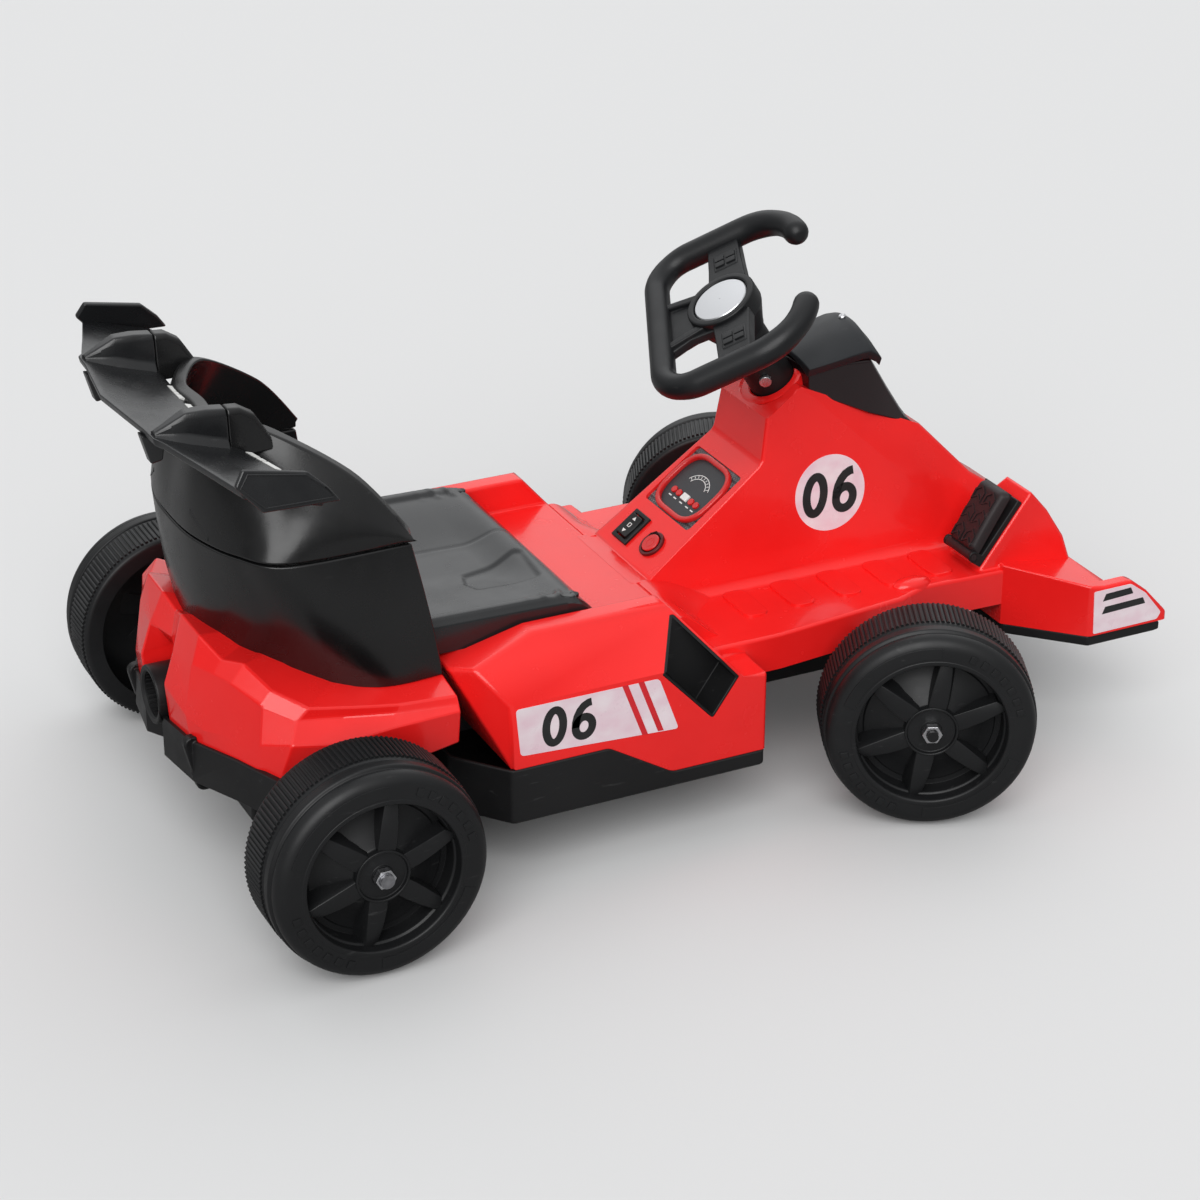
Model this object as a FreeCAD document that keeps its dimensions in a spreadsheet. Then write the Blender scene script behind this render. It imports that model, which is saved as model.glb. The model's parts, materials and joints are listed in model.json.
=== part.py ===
"""Electric ride-on kart for a small child, built from separate moulded and steel pieces.

Lengths are millimetres. +X points forward, +Y to the driver's left, +Z up.
The origin lies on the ground under the middle of the kart. Places named ..._x are measured
forward from the rear axle at the drawn wheelbase; between the axles they stretch with the real
one, and ahead of the front axle they move with it. Levels named ..._z count from the axles.
"""
import FreeCAD, Part
import math
import os
import re

import Sketcher

Vector = FreeCAD.Vector
Rotation = FreeCAD.Rotation
Placement = FreeCAD.Placement

SIZES = [
    # wheels and axles
    ("wheel_radius", 95), ("wheel_width", 72), ("wheelbase", 551), ("drawn_wheelbase", 551),
    ("rear_track_half", 248), ("front_track_half", 241), ("kingpin_inset", 15),
    ("rear_reach", 114), ("front_reach", 264), ("steer_rest", 24.5), ("steer_full", 28),
    ("steer_share", 0.875),
    ("tread_width", 46), ("drum_wall", 4), ("flange_depth", 19), ("flange_thick", 4),
    ("shoulder_drop", 1.5), ("sidewall_round", 9), ("sidewall_height", 29.5), ("rim_depth", 18),
    ("web_thick", 4), ("spoke_count", 6), ("spoke_rise", 11), ("spoke_root_width", 19),
    ("spoke_tip_width", 13), ("hub_disc_radius", 23.5), ("hub_recess", 6), ("hub_tube_radius", 16),
    ("hub_tube_start", 12), ("front_axle_radius", 5), ("rear_axle_radius", 6), ("running_fit", 0.1),
    ("clearance", 0.4), ("nut_radius", 9), ("nut_height", 7), ("axle_end", 4), ("overrun", 30),
    # chassis, beam and steering linkage
    ("pan_bottom_z", -35), ("pan_rim_z", 17), ("pan_wall", 4), ("pan_half", 198),
    ("pan_rear_x", 150), ("pan_front_x", 390), ("tail_gap", 9), ("tail_rear_x", -46),
    ("tongue_half", 66), ("tongue_front_x", 578),
    ("beam_depth", 26), ("beam_height", 22), ("boss_radius", 13), ("boss_height", 30),
    ("lug_thick", 6), ("knuckle_web", 6), ("arm_length", 40), ("arm_width", 16),
    ("kingpin_radius", 5), ("kingpin_head", 4), ("kingpin_head_radius", 10), ("tie_thick", 5),
    ("tie_width", 12), ("tie_eye", 8),
    ("tie_pin_radius", 4), ("tie_tab_width", 24), ("slot_room", 4), ("slot_rim", 6),
    # steering column and wheel
    ("hub_x", 447.6), ("hub_z", 315.6), ("column_angle", 57.3), ("column_radius", 5),
    ("crank_thick", 6), ("crank_width", 14), ("crank_gap", 9), ("crank_pin_radius", 4),
    ("crank_pin_end", 8), ("rim_tube", 11.5), ("rim_half", 90.5), ("rim_bottom", 59),
    ("rim_corner", 34), ("rim_shoulder", 55), ("rim_shoulder_start", 13), ("rim_shoulder_sweep", 75),
    ("hub_radius", 33), ("hub_front", 7), ("hub_back", 34), ("badge_radius", 26), ("badge_thick", 2.5),
    ("spoke_thick", 13), ("side_spoke_width", 34), ("side_spoke_up", 8), ("low_spoke_width", 54),
    ("low_spoke_root", 40), ("pad_width", 22), ("pad_length", 17), ("pad_thick", 4), ("pad_proud", 2),
    ("pad_place", 58), ("pad_travel", 1), ("sleeve_radius", 21), ("sleeve_end", 112), ("bolt_radius", 3),
    ("bolt_head", 5.5), ("bolt_head_thick", 4), ("bolt_up", 16), ("well_radius", 31), ("bracket_thick", 8),
    ("bracket_length", 50), ("bracket_z", 103),
    # red body
    ("shell_wall", 3), ("shell_bottom_z", 17), ("pod_half", 196), ("pod_top_half", 154),
    ("pod_inner_half", 134), ("pod_crease_z", 77), ("pod_top_z", 120), ("pod_tail_x", 112),
    ("pod_tail_z", 100), ("pod_rear_x", 150), ("pod_rise_x", 188), ("pod_front_x", 312),
    ("pod_toe_x", 368), ("pod_toe_z", 55), ("pod_end_x", 392), ("pod_tail_half", 150),
    ("skirt_bend_x", 240), ("skirt_drop_x", 300), ("skirt_low_z", -20),
    ("deck_z", 105), ("deck_front_z", 91), ("deck_end_x", 350),
    ("floor_z", 65), ("floor_depth", 34), ("floor_start_x", 330), ("floor_rear_gap", 86),
    ("floor_bend_x", 428), ("floor_axle_x", 560), ("floor_axle_gap", 101), ("floor_notch_x", 590),
    ("floor_notch_gap", 113), ("floor_front_x", 700), ("floor_front_half", 132),
    ("console_foot_half", 58), ("console_top_half", 42), ("console_top_z", 243),
    ("dash_foot_x", 349.7), ("dash_foot_z", 91.2), ("dash_head_x", 464), ("dash_head_z", 177.8),
    ("tower_x", 470), ("tower_z", 218), ("tower_top_x", 505), ("tower_top_z", 242),
    ("ridge_x", 640), ("ridge_z", 177), ("ridge_half", 30), ("ridge_foot_x", 690),
    ("ridge_low_x", 693), ("ridge_low_z", 122), ("ridge_end_x", 740), ("ridge_end_z", 89),
    ("bulkhead_half", 124), ("bulkhead_inner", 72), ("bulkhead_shoulder", 83), ("bulkhead_shoulder_z", 117),
    ("bulkhead_foot_x", 650), ("bulkhead_top_x", 702), ("bulkhead_top_z", 135),
    ("bulkhead_brow_x", 722), ("bulkhead_brow_z", 112), ("bulkhead_front_x", 741),
    ("bulkhead_front_z", 83), ("bulkhead_end_x", 752), ("bulkhead_end_z", 53),
    ("wing_bottom_z", 11), ("wing_root_x", 672), ("wing_root_half", 131), ("wing_root_z", 70),
    ("wing_half", 190), ("wing_tip_rear_x", 730), ("wing_crest_x", 751), ("wing_crest_z", 58),
    ("wing_foot_x", 776), ("wing_lip_x", 796), ("wing_lip_z", 23), ("wing_plate_width", 12),
    ("wing_plate_z", 59), ("wing_plate_bend_x", 773), ("wing_plate_brow_x", 791), ("wing_plate_brow_z", 45),
    ("wing_tip_z", 19),
    ("tray_depth", 11), ("tray_inset", 1.5),
    ("duct_rear_x", 290), ("duct_rear_z", 75), ("duct_top_x", 315), ("duct_top_z", 114),
    ("duct_front_x", 364), ("duct_front_z", 57), ("duct_low_x", 339), ("duct_low_z", 22),
    ("duct_depth", 34), ("duct_wall", 2.5),
    # hood over the steering tower
    ("hood_rear_x", 513), ("hood_rear_z", 262), ("hood_top_x", 572), ("hood_top_z", 285),
    ("hood_brow_x", 588), ("hood_brow_z", 263), ("hood_neck_x", 580), ("hood_neck_z", 255),
    ("hood_foot_x", 631), ("hood_half", 45), ("hood_crown_half", 22),
    ("hood_edge_z", 266), ("hood_wall", 3), ("hood_nose_half", 30), ("hood_nose_x", 622),
    # seat, seat back, fairing and rear wing
    ("seat_rear_x", 61), ("seat_half", 132), ("seat_rear_z", 133), ("seat_front_z", 129),
    ("seat_bend_x", 238), ("seat_lip_x", 252), ("seat_lip_z", 123), ("seat_front_x", 262),
    ("seat_edge_z", 110), ("seat_wall", 4),
    ("back_front_x", 110), ("back_rear_x", -48), ("back_ledge", 40), ("back_low_z", 95),
    ("seam_z", 215), ("seam_front_x", 90), ("seam_rear_x", -63), ("seam_lean", 12), ("back_wall", 12),
    ("crest_front_z", 221), ("crest_mid_x", 47), ("crest_mid_lean", 20), ("crest_mid_z", 275),
    ("crest_rear_x", -12), ("crest_rear_lean", 46), ("crest_rear_z", 313), ("crest_back_x", -45),
    ("fin_inset", 1.5), ("fin_width", 18), ("fin_split_x", -47), ("fin_split_z", 340), ("fin_tip_x", -106),
    ("fin_tip_z", 330), ("fin_brow_x", -28), ("blade_z", 311), ("blade_rear_x", -114),
    ("blade_front_x", -40), ("blade_thick", 9), ("blade_step_half", 38), ("blade_step", 10),
    ("blade_half", 168), ("blade_tip_front_x", -14), ("plate_half", 208), ("plate_lean", 7),
    ("plate_thick", 5), ("plate_rear_x", -81), ("plate_top_rear_x", -71), ("plate_top_front_x", -15),
    ("plate_front_x", 0.7), ("plate_rear_z", 322), ("plate_top_z", 334), ("plate_front_z", 298),
    ("plate_low_x", -60), ("plate_low_z", 299), ("plate_drop", 9),
    ("fairing_wall", 4), ("fairing_low_z", 23), ("fairing_gap", 22), ("fairing_rear_x", -95),
    ("bumper_low_z", 5), ("bumper_top_z", 43), ("outlet_radius", 26), ("outlet_wall", 6), ("outlet_z", 53),
    ("outlet_rear_x", -98), ("outlet_length", 38), ("outlet_depth", 26),
    ("strake_half", 73.5), ("strake_width", 9), ("strake_root_x", -62), ("strake_tip_x", -96),
    ("strake_tip_z", 47), ("strake_low_x", -84), ("strake_low_z", -5), ("strake_round", 7),
    # dash fittings, measured up the slope and across it
    ("recess_start", 54), ("recess_end", 122), ("recess_half", 42), ("panel_thick", 4), ("panel_lap", 3),
    ("ring_middle", 88), ("ring_length", 52), ("ring_width", 62), ("ring_band", 4), ("ring_rise", 6),
    ("ring_corner", 20), ("button_row", 77), ("button_radius", 3.4), ("button_rise", 2.2),
    ("button_depth", 6), ("button_near", 11.5), ("button_far", 20.5),
    ("display_length", 7), ("display_width", 10), ("switch_row", 24.5), ("switch_aside", 20.5),
    ("rocker_length", 33), ("rocker_width", 26), ("rocker_frame", 4), ("rocker_rise", 3),
    ("rocker_proud", 2.5), ("rocker_depth", 7), ("rocker_gap", 1.2), ("power_radius", 13),
    ("power_rim", 3.4), ("power_proud", 1.5), ("power_depth", 8),
    # accelerator pedal, measured up the bulkhead's slope
    ("pedal_side", 100), ("pedal_width", 38), ("pedal_length", 70), ("pedal_thick", 9),
    ("pedal_rest", 5), ("pedal_base_thick", 6), ("pedal_base_rim", 3), ("pedal_pin_radius", 3),
    ("pedal_pivot_up", 9), ("pedal_pivot_out", 13), ("pedal_start", 4),
    # drive and electrics
    ("gearbox_width", 52), ("gearbox_rear", 38), ("gearbox_front", 62), ("gearbox_low", 33),
    ("gearbox_high", 11), ("gearbox_gap", 7), ("drive_gear_radius", 34), ("drive_gear_width", 16),
    ("motor_radius", 18), ("motor_length", 44), ("motor_ahead", 40), ("motor_below", 12),
    ("battery_length", 151), ("battery_width", 65), ("battery_height", 94), ("battery_x", 165),
    ("terminal_size", 8), ("control_length", 92), ("control_width", 58), ("control_height", 28),
    ("control_x", 260), ("control_side", 88),
    # screws
    ("screw_radius", 4), ("screw_head", 2), ("seat_screw_x", 244), ("seat_screw_half", 120),
]

# Cells worked out from the sizes above, so that neighbouring pieces keep together
WORKED_OUT = [
    ("kingpin_half", "front_track_half - wheel_width / 2 - kingpin_inset"),
    ("flange_radius", "wheel_radius - flange_depth"),
    ("rim_radius", "wheel_radius - sidewall_height"),
    ("floor_rear_half", "front_track_half - floor_rear_gap"),
    ("floor_axle_half", "front_track_half - floor_axle_gap"),
    ("floor_notch_half", "front_track_half - floor_notch_gap"),
    ("fairing_front_half", "rear_track_half - wheel_width / 2 - fairing_gap"),
    ("back_half", "fairing_front_half - back_ledge"),
    ("seam_half", "back_half - seam_lean"),
    ("crest_mid_half", "seam_half - crest_mid_lean"),
    ("crest_rear_half", "seam_half - crest_rear_lean"),
    ("fin_half", "crest_rear_half - fin_inset"),
    ("gearbox_half", "rear_track_half - wheel_width / 2 - gearbox_gap"),
    ("tail_half", "gearbox_half - gearbox_width - motor_length - tail_gap"),
    ("stretch", "wheelbase / drawn_wheelbase"),
]

doc = FreeCAD.newDocument("ride_on_kart")
sheet = doc.addObject("Spreadsheet::Sheet", "Sizes")
rows = [(alias, str(number)) for alias, number in SIZES] + [(alias, "=" + text) for alias, text in WORKED_OUT]
for row, (alias, content) in enumerate(rows, start=1):
    sheet.set(f"A{row}", alias)
    sheet.set(f"B{row}", content)
    sheet.setAlias(f"B{row}", alias)
doc.recompute()

ALIASES = {alias for alias, content in rows}


class Lengths:
    """The sheet's cells as plain numbers, by name; levels are given above the ground."""

    def __getattr__(self, name):
        value = float(sheet.get(name))
        return value + float(sheet.get("wheel_radius")) if name.endswith("_z") else value


s = Lengths()
rear_axle_x = (s.rear_reach - s.wheelbase - s.front_reach) / 2
front_axle_x = rear_axle_x + s.wheelbase
REAR_AXLE_TEXT = "(rear_reach - wheelbase - front_reach) / 2"
FRONT_AXLE_TEXT = "(rear_reach + wheelbase - front_reach) / 2"

nodes = []


def formula(text):
    """Write a sum of size names as a reference to the sheet's cells."""
    def cell(hit):
        word = hit.group()
        if word.endswith("_z"):
            return f"(Sizes.{word} + Sizes.wheel_radius)"
        return "Sizes." + word if word in ALIASES else word

    return re.sub(r"[a-z_]+", cell, text)


def number_of(text):
    """The present value of a sum of size names."""
    return float(sheet.evalExpression(formula(text)))


def keep(obj, label):
    """Register an object as one sub-part of the kart."""
    obj.Label = label
    nodes.append(obj)
    return obj


def bind(obj, **sums):
    """Tie properties of an object to sums of size names."""
    for name, text in sums.items():
        obj.setExpression(name, formula(text))
    return obj


def place(obj, x="0", y="0", z="0", turn=None):
    """Put an object at a place given by sums of size names."""
    if turn is not None:
        obj.Placement = Placement(Vector(), turn)
    for axis, text in (("x", x), ("y", y), ("z", z)):
        obj.setExpression(f"Placement.Base.{axis}", formula(text))
    return obj


ALONG_Y = Rotation(Vector(1, 0, 0), -90)


def rod(name, radius, length, x="0", y="0", z="0", turn=None):
    """A plain round bar that starts at a place and runs along its own axis."""
    bar = bind(doc.addObject("Part::Cylinder", name), Radius=radius, Height=length)
    return place(bar, x, y, z, turn)


def block(name, length, width, height, x="0", y="0", z="0"):
    """A plain block given by its three sizes and its lowest corner."""
    box = bind(doc.addObject("Part::Box", name), Length=length, Width=width, Height=height)
    return place(box, x, y, z)


def fuse(name, *pieces):
    joined = doc.addObject("Part::MultiFuse", name)
    joined.Shapes = list(pieces)
    return joined


def cut(name, base, *tools):
    """Take tools away from a base, one after the other."""
    for index, tool in enumerate(tools):
        step = doc.addObject("Part::Cut", f"{name}_{index}")
        step.Base = base
        step.Tool = tool
        base = step
    return base


def group(name, *pieces):
    together = doc.addObject("Part::Compound", name)
    together.Links = list(pieces)
    return together


def feature(label, shape, placement=Placement()):
    """A sub-part whose shape is worked out below from the sheet's sizes."""
    obj = doc.addObject("Part::Feature", label)
    obj.Shape = shape
    obj.Placement = placement.multiply(shape.Placement)
    return keep(obj, label)


def outline(body, name, role, corners):
    """A closed sketch in one of a body's planes, each corner tied to the sheet."""
    sketch = body.newObject("Sketcher::SketchObject", name)
    plane = next(item for item in body.Origin.OriginFeatures if item.Role == role)
    sketch.AttachmentSupport = [(plane, "")]
    sketch.MapMode = "FlatFace"
    points = [Vector(number_of(across), number_of(up), 0) for across, up in corners]
    count = len(points)
    for index in range(count):
        sketch.addGeometry(Part.LineSegment(points[index], points[(index + 1) % count]))
    for index in range(count):
        sketch.addConstraint(Sketcher.Constraint("Coincident", index, 2, (index + 1) % count, 1))
    for index, corner in enumerate(corners):
        for kind, text in zip(("DistanceX", "DistanceY"), corner):
            datum = sketch.addConstraint(Sketcher.Constraint(kind, -1, 1, index, 1, number_of(text)))
            sketch.setExpression(f"Constraints[{datum}]", formula(text))
    return sketch


# Faceted forms: prisms of an outline across the kart, along it or up it


def ahead(distance):
    """A place on the X axis, from its distance ahead of the rear axle at the drawn wheelbase."""
    between = min(max(distance, 0), s.drawn_wheelbase)
    return rear_axle_x + distance + between * (s.stretch - 1)


def inset(points, distance):
    """Draw a closed outline in (counter-clockwise, corners as pairs) by a distance."""
    count = len(points)
    lines = []
    for index in range(count):
        ax, ay = points[index]
        bx, by = points[(index + 1) % count]
        length = math.hypot(bx - ax, by - ay)
        nx, ny = (ay - by) / length, (bx - ax) / length
        lines.append((ax + nx * distance, ay + ny * distance, (bx - ax) / length, (by - ay) / length))
    drawn = []
    for index in range(count):
        ax, ay, adx, ady = lines[index - 1]
        bx, by, bdx, bdy = lines[index]
        turning = adx * bdy - ady * bdx
        along = ((bx - ax) * bdy - (by - ay) * bdx) / turning if turning else 0
        start = (ax, ay) if turning else (bx, by)
        drawn.append((start[0] + adx * along, start[1] + ady * along))
    return drawn


def prism(corners, sweep):
    """A solid swept straight from a closed ring of corners."""
    return Part.Face(Part.makePolygon(corners + corners[:1])).extrude(sweep)


def side_prism(points, half, inner=None):
    """An (x, z) outline swept across the kart, or from an inner to an outer half width."""
    start = -half if inner is None else inner
    return prism([Vector(x, start, z) for x, z in points], Vector(0, half - start, 0))


def end_prism(points, rear, front):
    """A (y, z) outline swept along the kart."""
    return prism([Vector(rear, y, z) for y, z in points], Vector(front - rear, 0, 0))


def plan_prism(points, low, high):
    """An (x, y) outline swept upward."""
    return prism([Vector(x, y, low) for x, y in points], Vector(0, 0, high - low))


def mirrored_pairs(right_half):
    """A closed (x, y) outline from its right half, listed from rear to front."""
    return right_half + [(x, -y) for x, y in reversed(right_half)]


def slab(rear, front, half, low, high):
    """A block across the kart's middle plane."""
    return Part.makeBox(front - rear, 2 * half, high - low, Vector(rear, -half, low))


def beyond(corners, drawn_in):
    """A large block outside the slanted plane through three corners, moved in by a distance.

    The corners run counter-clockwise as seen from outside.
    """
    first, second, third = corners
    outward = (second - first).cross(third - first).normalize()
    size = s.wheelbase
    big = Part.makeBox(2 * size, 2 * size, size, Vector(-size, -size, 0))
    big.Placement = Placement(first - outward * drawn_in, Rotation(Vector(0, 0, 1), outward))
    return big


def both_sides(form, right_corners, drawn_in):
    """Trim a form by a slanted plane on its right and by the mirrored plane on its left."""
    left = [Vector(corner.x, -corner.y, corner.z) for corner in reversed(right_corners)]
    return form.cut(beyond(right_corners, drawn_in)).cut(beyond(left, drawn_in))


def shifted(shape, up):
    moved = shape.copy()
    moved.translate(Vector(0, 0, up))
    return moved


def shell_of(form, wall):
    """Hollow a form that is drawn by a function of its inset, open at the underside."""
    inner = form(wall)
    inner = inner.fuse(shifted(inner, -2 * wall))
    return form(0).cut(inner)


def ribbon(sections, smooth=False):
    """A wall through rings of corners, one ring at each station, with flat facets or smooth."""
    rings = [Part.makePolygon(ring + ring[:1]) for ring in sections]
    return Part.makeLoft(rings, True, not smooth)


def solid_only(shape):
    """The one solid of a boolean result."""
    shape = shape.removeSplitter()
    return max(shape.Solids, key=lambda piece: piece.Volume)


# Wheels: an inner drum with the tread and an outer half with sidewall, dish and spokes


def wheel_halves(side, end):
    """Both halves of one wheel. Their own axis is Y, outward, from the wheel's inner face."""
    drum = doc.addObject("PartDesign::Body", f"drum_{end}_{side}")
    profile = outline(drum, f"drum_profile_{end}_{side}", "XY_Plane", [
        ("flange_radius", "0"), ("wheel_radius - flange_thick", "0"), ("wheel_radius", "flange_thick"),
        ("wheel_radius", "tread_width"), ("wheel_radius - drum_wall", "tread_width"),
        ("wheel_radius - drum_wall", "flange_thick + drum_wall"), ("flange_radius", "flange_thick")])
    spin = drum.newObject("PartDesign::Revolution", f"drum_ring_{end}_{side}")
    spin.Profile = profile
    spin.ReferenceAxis = (profile, ["V_Axis"])
    spin.Angle = 360
    face = doc.addObject("PartDesign::Body", f"face_{end}_{side}")
    bore = "rear_axle_radius + running_fit" if end == "rear" else "front_axle_radius + running_fit"
    web = "wheel_width - rim_depth"
    disc = "wheel_width - hub_recess"
    profile = outline(face, f"face_profile_{end}_{side}", "XY_Plane", [
        (bore, "hub_tube_start"), ("hub_tube_radius", "hub_tube_start"),
        ("hub_tube_radius", f"{web} - web_thick"), ("rim_radius + drum_wall", f"{web} - web_thick"),
        ("rim_radius + drum_wall", "tread_width"), ("wheel_radius - shoulder_drop", "tread_width"),
        ("wheel_radius - shoulder_drop", "wheel_width - sidewall_round"),
        ("wheel_radius - shoulder_drop - sidewall_round", "wheel_width"), ("rim_radius", "wheel_width"),
        ("rim_radius", web), ("hub_disc_radius", web), ("hub_disc_radius", disc), (bore, disc)])
    spin = face.newObject("PartDesign::Revolution", f"face_ring_{end}_{side}")
    spin.Profile = profile
    spin.ReferenceAxis = (profile, ["V_Axis"])
    spin.Angle = 360
    spoke = outline(face, f"spoke_outline_{end}_{side}", "XZ_Plane", [
        ("hub_tube_radius", "-spoke_root_width / 2"), ("rim_radius + drum_wall / 2", "-spoke_tip_width / 2"),
        ("rim_radius + drum_wall / 2", "spoke_tip_width / 2"), ("hub_tube_radius", "spoke_root_width / 2")])
    bind(spoke, **{"AttachmentOffset.Base.z": f"-({web} - web_thick / 2)"})
    pad = face.newObject("PartDesign::Pad", f"spoke_{end}_{side}")
    pad.Profile = spoke
    pad.Reversed = True
    bind(pad, Length="spoke_rise + web_thick / 2")
    doc.recompute()
    fan = face.newObject("PartDesign::PolarPattern", f"spokes_{end}_{side}")
    fan.Originals = [pad]
    fan.Axis = (profile, ["V_Axis"])
    fan.Angle = 360
    fan.Occurrences = int(s.spoke_count)
    face.Tip = fan
    doc.recompute()
    return drum, face


def steer_turn(side):
    """The rest position of a steered piece: turned to the right about its kingpin."""
    pivot = Vector(front_axle_x, side * s.kingpin_half, 0)
    turn = Rotation(Vector(0, 0, 1), -s.steer_rest)
    return Placement(pivot - turn.multVec(pivot), turn)


SIDES = (("right", -1), ("left", 1))
for side, sign in SIDES:
    facing = Rotation() if sign > 0 else Rotation(Vector(0, 0, 1), 180)
    for end, axle_x, track in (("rear", rear_axle_x, s.rear_track_half),
                               ("front", front_axle_x, s.front_track_half)):
        inner_face = Vector(axle_x, sign * (track - s.wheel_width / 2), s.wheel_radius)
        where = Placement(inner_face, facing)
        if end == "front":
            where = steer_turn(sign).multiply(where)
        for half, word in zip(wheel_halves(side, end), ("inner", "outer")):
            half.Placement = where
            keep(half, f"wheel_{word}_{end}_{side}")

# Rear axle with its nuts

rear_end = "rear_track_half + wheel_width / 2 - hub_recess"
keep(rod("rear_axle_bar", "rear_axle_radius", f"2 * ({rear_end} + nut_height + axle_end)",
         REAR_AXLE_TEXT, f"-({rear_end} + nut_height + axle_end)", "wheel_radius", ALONG_Y), "rear_axle")


def hex_nut(name, bore):
    """A hexagon nut whose axis is its own Z."""
    hexagon = doc.addObject("Part::Prism", f"{name}_hexagon")
    bind(hexagon, Circumradius="nut_radius", Height="nut_height")
    hexagon.Polygon = 6
    hole = rod(f"{name}_hole", bore, "nut_height + overrun", z="-overrun / 2")
    return cut(name, hexagon, hole)


rear_nuts = []
for side, sign in SIDES:
    nut = hex_nut(f"rear_nut_{side}", "rear_axle_radius")
    start = f"{rear_end} + clearance" if sign > 0 else f"-({rear_end} + clearance + nut_height)"
    rear_nuts.append(place(nut, REAR_AXLE_TEXT, start, "wheel_radius", ALONG_Y))
keep(group("rear_nut_pair", *rear_nuts), "rear_axle_nuts")

# Gearboxes, motors and the drive gears that turn the rear wheels

inner_face = "rear_track_half - wheel_width / 2"
for side, sign in SIDES:
    outer = f"({inner_face} - gearbox_gap)"
    low_y = f"{outer} - gearbox_width" if sign > 0 else f"-{outer}"
    case = block(f"gearbox_case_{side}", "gearbox_rear + gearbox_front", "gearbox_width",
                 "gearbox_low + gearbox_high", f"{REAR_AXLE_TEXT} - gearbox_rear", low_y,
                 "wheel_radius - gearbox_low")
    bore = rod(f"gearbox_bore_{side}", "rear_axle_radius", "gearbox_width + overrun",
               REAR_AXLE_TEXT, f"{low_y} - overrun / 2", "wheel_radius", ALONG_Y)
    keep(cut(f"gearbox_body_{side}", case, bore), f"gearbox_{side}")
    motor_y = f"{outer} - gearbox_width - motor_length" if sign > 0 else f"gearbox_width - {outer}"
    keep(rod(f"motor_can_{side}", "motor_radius", "motor_length", f"{REAR_AXLE_TEXT} + motor_ahead",
             motor_y, "wheel_radius - motor_below", ALONG_Y), f"motor_{side}")
    gear_start = f"{inner_face} + hub_tube_start - drive_gear_width"
    gear_y = gear_start if sign > 0 else f"-({inner_face} + hub_tube_start)"
    disc = rod(f"gear_disc_{side}", "drive_gear_radius", "drive_gear_width",
               REAR_AXLE_TEXT, gear_y, "wheel_radius", ALONG_Y)
    bore = rod(f"gear_bore_{side}", "rear_axle_radius + running_fit", "drive_gear_width + overrun",
               REAR_AXLE_TEXT, f"{gear_y} - overrun / 2", "wheel_radius", ALONG_Y)
    keep(cut(f"drive_gear_body_{side}", disc, bore), f"drive_gear_{side}")

# Front axle beam, kingpins and knuckles

beam_bar = block("beam_bar", "beam_depth", "2 * kingpin_half", "beam_height",
                 f"{FRONT_AXLE_TEXT} - beam_depth / 2", "-kingpin_half", "wheel_radius - beam_height / 2")
bosses = []
holes = []
pins = []
for side, sign in SIDES:
    pin_y = f"{sign} * kingpin_half"
    bosses.append(rod(f"beam_boss_{side}", "boss_radius", "boss_height", FRONT_AXLE_TEXT, pin_y,
                      "wheel_radius - boss_height / 2"))
    holes.append(rod(f"beam_hole_{side}", "kingpin_radius", "boss_height + overrun", FRONT_AXLE_TEXT, pin_y,
                     "wheel_radius - (boss_height + overrun) / 2"))
    shank = rod(f"kingpin_shank_{side}", "kingpin_radius", "boss_height + 2 * (lug_thick + clearance)",
                FRONT_AXLE_TEXT, pin_y, "wheel_radius - boss_height / 2 - lug_thick - clearance")
    head = rod(f"kingpin_head_{side}", "kingpin_head_radius", "kingpin_head", FRONT_AXLE_TEXT, pin_y,
               "wheel_radius + boss_height / 2 + lug_thick + clearance * 2")
    neck = rod(f"kingpin_neck_{side}", "kingpin_radius", "clearance * 2", FRONT_AXLE_TEXT, pin_y,
               "wheel_radius + boss_height / 2 + lug_thick")
    pins.append(fuse(f"kingpin_bolt_{side}", shank, neck, head))
beam = cut("beam_drilled", fuse("beam_whole", beam_bar, *bosses), *holes)
keep(beam, "front_axle_beam")
keep(group("kingpin_pair", *pins), "kingpins")

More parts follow.
